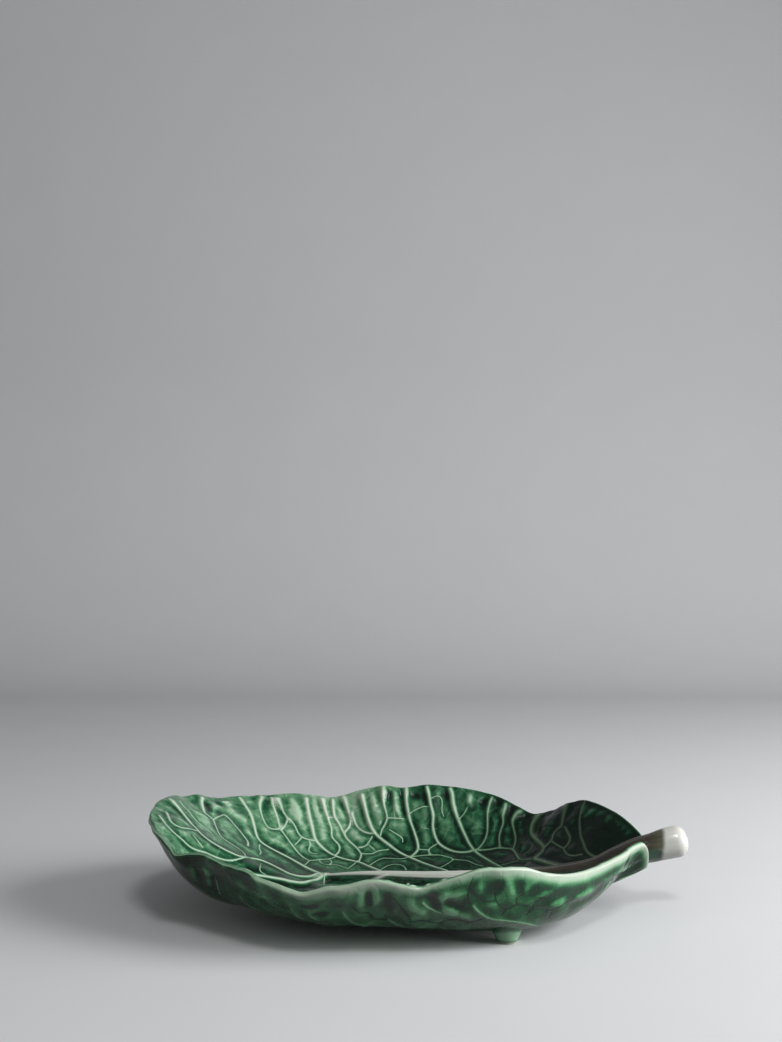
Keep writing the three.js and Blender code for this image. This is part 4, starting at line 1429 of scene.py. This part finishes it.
def keepInBox(piece, node):          # eases what stands out of the solid's box back into it
    margin = leaf["boxMargin"]
    low, high = (np.array(corner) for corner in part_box(node))
    points = np.empty(len(piece.data.vertices) * 3)
    piece.data.vertices.foreach_get("co", points)
    points = points.reshape(-1, 3)
    for edge, sign in ((high - margin, 1), (-(low + margin), -1)):
        past = np.maximum(sign * points - edge, 0)
        points -= sign * (past - margin * (1 - np.exp(-past / margin)))
    piece.data.vertices.foreach_set("co", points.ravel())
    piece.data.update()


reliefTree = buildRelief(list(helpers))
addNodes(leafPiece, reliefTree, {**helpers, **relief, "Glaze": leafFinish})
meshOut(leafPiece)
keepInBox(leafPiece, "leaf_shell")
for label, helper in helpers.items():
    if helper is not stalkPiece:
        bpy.data.objects.remove(helper)
bpy.data.node_groups.remove(reliefTree)
print("leaf made,", len(leafPiece.data.polygons), "faces")

feet = {
    "height": 8 * mm,                # of a foot that meets no leaf above it
    "radius": 6.4 * mm,
    "topRadius": 10.5 * mm,
    "flare": 2.2 * mm,               # extra radius where the foot runs into the leaf
    "flareFade": 6,
    "round": 1.1 * mm,
    "roundSteps": 5,
    "hollow": 0.12 * mm,             # how far the middle of its underside is drawn up
    "hollowRings": (0.5, 0.85),
    "sink": 1.6 * mm,                # how far it goes into the wall
    "waver": 0.012,                  # how far it is from round
    "sides": 72,
    "rings": 26,
}
# Each foot's name, place in shares of the leaf's half length and half width, and share of height.
footShares = [
    ["foot_front", 0.405, -0.64, 1],
    ["foot_back", 0.37, 0.66, 1],
    ["foot_tip", -0.4, 0.06, 1.2],
]
footLook = {
    "usual": 0.22,                   # depth of its glaze
    "top": 0.7,
    "topSpan": (0.6, 0.95),
    "bead": 0.3,                     # of the darker ring of glaze above the bare clay
    "beadHeight": 1.9 * mm,
    "beadWidth": 0.55 * mm,
    "bareSpan": (0.9 * mm, 1.4 * mm),
    "tint": (0.86, 1.08, 0.94),
    "clay": (tone(206, 196, 174), tone(226, 218, 200)),
}


def footGlaze():
    look = footLook
    material, wiring, place = startMaterial("footGlaze")
    height = wiring.part(place, "Z")
    mottle = wiring.noise(place, 220.0, 3.0, 0.6)
    drift = wiring.noise(place, 60.0, 2.0, 0.5) - 0.5
    depth = look["usual"] + (mottle - 0.5) * 0.2 + drift * 0.3
    depth = depth + wiring.attribute("rise").ramp(*look["topSpan"]) * look["top"]
    depth = depth + (height - look["beadHeight"]).bell(look["beadWidth"]) * look["bead"]
    coloured = wiring.vector("MULTIPLY", glazeRamp(wiring, depth.clamped()), look["tint"])
    bare = 1 - (height + drift * 0.8 * mm).ramp(*look["bareSpan"])
    clay = wiring.mixed(mottle, *look["clay"])
    finishMaterial(wiring, {
        "Base Color": wiring.mixed(bare, coloured, clay),
        "Roughness": 0.15 + bare * 0.5,
        "IOR": 1.52,
        "Coat Weight": (1 - bare) * 0.35,
        "Coat Roughness": 0.05,
        "Normal": wiring.bump((mottle - 0.5) * 0.2 * mm - bare * 0.15 * mm),
    })
    return material


def buildFoot(name, along, across, heightShare, tree, finish):
    centre = np.array([along * leaf["halfLength"] - leaf["middle"], across * leaf["halfWidth"]])
    angle = 2 * np.pi * np.arange(feet["sides"]) / feet["sides"]
    around = np.stack([np.cos(angle), np.sin(angle)], -1)
    level = np.ones(len(angle))
    rings = []
    rises = []

    def addRing(flat, height, rise):
        rings.append(np.column_stack([flat, height]))
        rises.append(rise)

    for share in feet["hollowRings"]:
        radius = (feet["radius"] - feet["round"]) * share
        addRing(centre + around * radius, level * feet["hollow"] * (1 - share), 0.0)
    for turn in np.linspace(0, math.pi / 2, feet["roundSteps"]):
        radius = feet["radius"] - feet["round"] * (1 - math.sin(turn))
        addRing(centre + around * radius, level * feet["round"] * (1 - math.cos(turn)), 0.0)
    wavy = 1 + feet["waver"] * np.sin(3 * angle + along * 9)
    for share in np.linspace(0, 1, feet["rings"])[1:]:
        wide = feet["radius"] + (feet["topRadius"] - feet["radius"]) * share
        wide = wide + feet["flare"] * share ** feet["flareFade"]
        flat = centre + around * (wide * wavy)[:, None]
        tops = []
        for x, y in flat:            # the leaf above each point of the ring
            hit = tree.ray_cast(Vector((x, y, -0.02)), Vector((0, 0, 1)))[0]
            tops.append((hit.z if hit else feet["height"] * heightShare) + feet["sink"])
        addRing(flat, feet["round"] + (np.array(tops) - feet["round"]) * share, share)
    underside = [centre[0], centre[1], feet["hollow"]]
    points = np.vstack([*rings, underside, rings[-1].mean(axis=0)])
    piece = makeObject(name + "_body", points, tubeFaces(len(rings), len(angle)))
    giveAttribute(piece, "rise", np.concatenate([np.repeat(rises, len(angle)), [0.0, 1.0]]))
    piece.data.materials.append(finish)
    return piece


footFinish = footGlaze()
leafTree = BVHTree.FromObject(leafPiece, bpy.context.evaluated_depsgraph_get())
footPieces = {}
for name, along, across, heightShare in footShares:
    footPieces[name] = buildFoot(name, along, across, heightShare, leafTree, footFinish)
print("feet made")

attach(leafPiece, "root")
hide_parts("leaf_shell")
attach(stalkPiece, "root")
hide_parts("stalk")
for name, piece in footPieces.items():
    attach(piece, "root")
    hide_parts(name)

# Studio: a pale floor that sweeps up into the backdrop, one large lamp and a soft fill.
studio = {
    "floor": (tone(232, 233, 235), tone(214, 216, 220)),
    "floorGrain": 0.25,
    "floorUnlit": tone(110, 112, 116),   # what the floor gives back to the dish
    "floorHalf": 4.0,                # half its width, then its front edge and where it bends up
    "floorFront": -2.5,
    "bendStart": 1.2,
    "bendRadius": 0.6,
    "bendSteps": 12,
    "top": 3.2,
    "lampTarget": (0, 0, 0.03),
    "keyPlace": (1.5, -0.3, 0.62),
    "keySize": 1.0,
    "keyPower": 34.0,
    "fillPlace": (0.3, -1.0, 1.6),
    "fillSize": 0.4,
    "fillPower": 6.0,
    "sky": 0.22,
}


def buildSweep():
    start, radius = studio["bendStart"], studio["bendRadius"]
    profile = [(studio["floorFront"], 0.0)]
    for angle in np.linspace(0, math.pi / 2, studio["bendSteps"] + 1):
        profile.append((start + radius * math.sin(angle), radius * (1 - math.cos(angle))))
    profile.append((start + radius, studio["top"]))
    points = [(x, y, z) for y, z in profile for x in (-studio["floorHalf"], studio["floorHalf"])]
    faces = [(2 * k, 2 * k + 1, 2 * k + 3, 2 * k + 2) for k in range(len(profile) - 1)]
    sweep = makeObject("sweep", points, faces)
    material, wiring, place = startMaterial("floorPaint")
    path = wiring.add("ShaderNodeLightPath", output="Is Camera Ray")
    shown = (path + path.other("Is Glossy Ray") + path.other("Is Transmission Ray")).clamped()
    grain = wiring.noise(place, 9.0, 3.0, 0.5)
    paint = wiring.mixed(grain * studio["floorGrain"], *studio["floor"])
    colour = wiring.mixed(shown, studio["floorUnlit"], paint)
    finishMaterial(wiring, {"Base Color": colour, "Roughness": 0.75, "Specular IOR Level": 0.15})
    sweep.data.materials.append(material)


def addLamp(name, place, size, power):
    lamp = bpy.data.lights.new(name, "AREA")
    lamp.shape = "SQUARE"
    lamp.size = size
    lamp.energy = power
    holder = bpy.data.objects.new(name, lamp)
    holder.location = place
    direction = Vector(studio["lampTarget"]) - Vector(place)
    holder.rotation_euler = direction.to_track_quat("-Z", "Y").to_euler()
    bpy.context.scene.collection.objects.link(holder)


buildSweep()
addLamp("key", studio["keyPlace"], studio["keySize"], studio["keyPower"])
addLamp("fill", studio["fillPlace"], studio["fillSize"], studio["fillPower"])
world = bpy.data.worlds.new("studio")
world.use_nodes = True
sky = Wiring(world.node_tree)
light = sky.add("ShaderNodeBackground", inputs={"Color": (1.0, 1.0, 1.0, 1.0), "Strength": studio["sky"]})
sky.add("ShaderNodeOutputWorld", inputs={"Surface": light})
bpy.context.scene.world = world
bpy.context.scene.view_settings.view_transform = "Standard"
print("studio set")
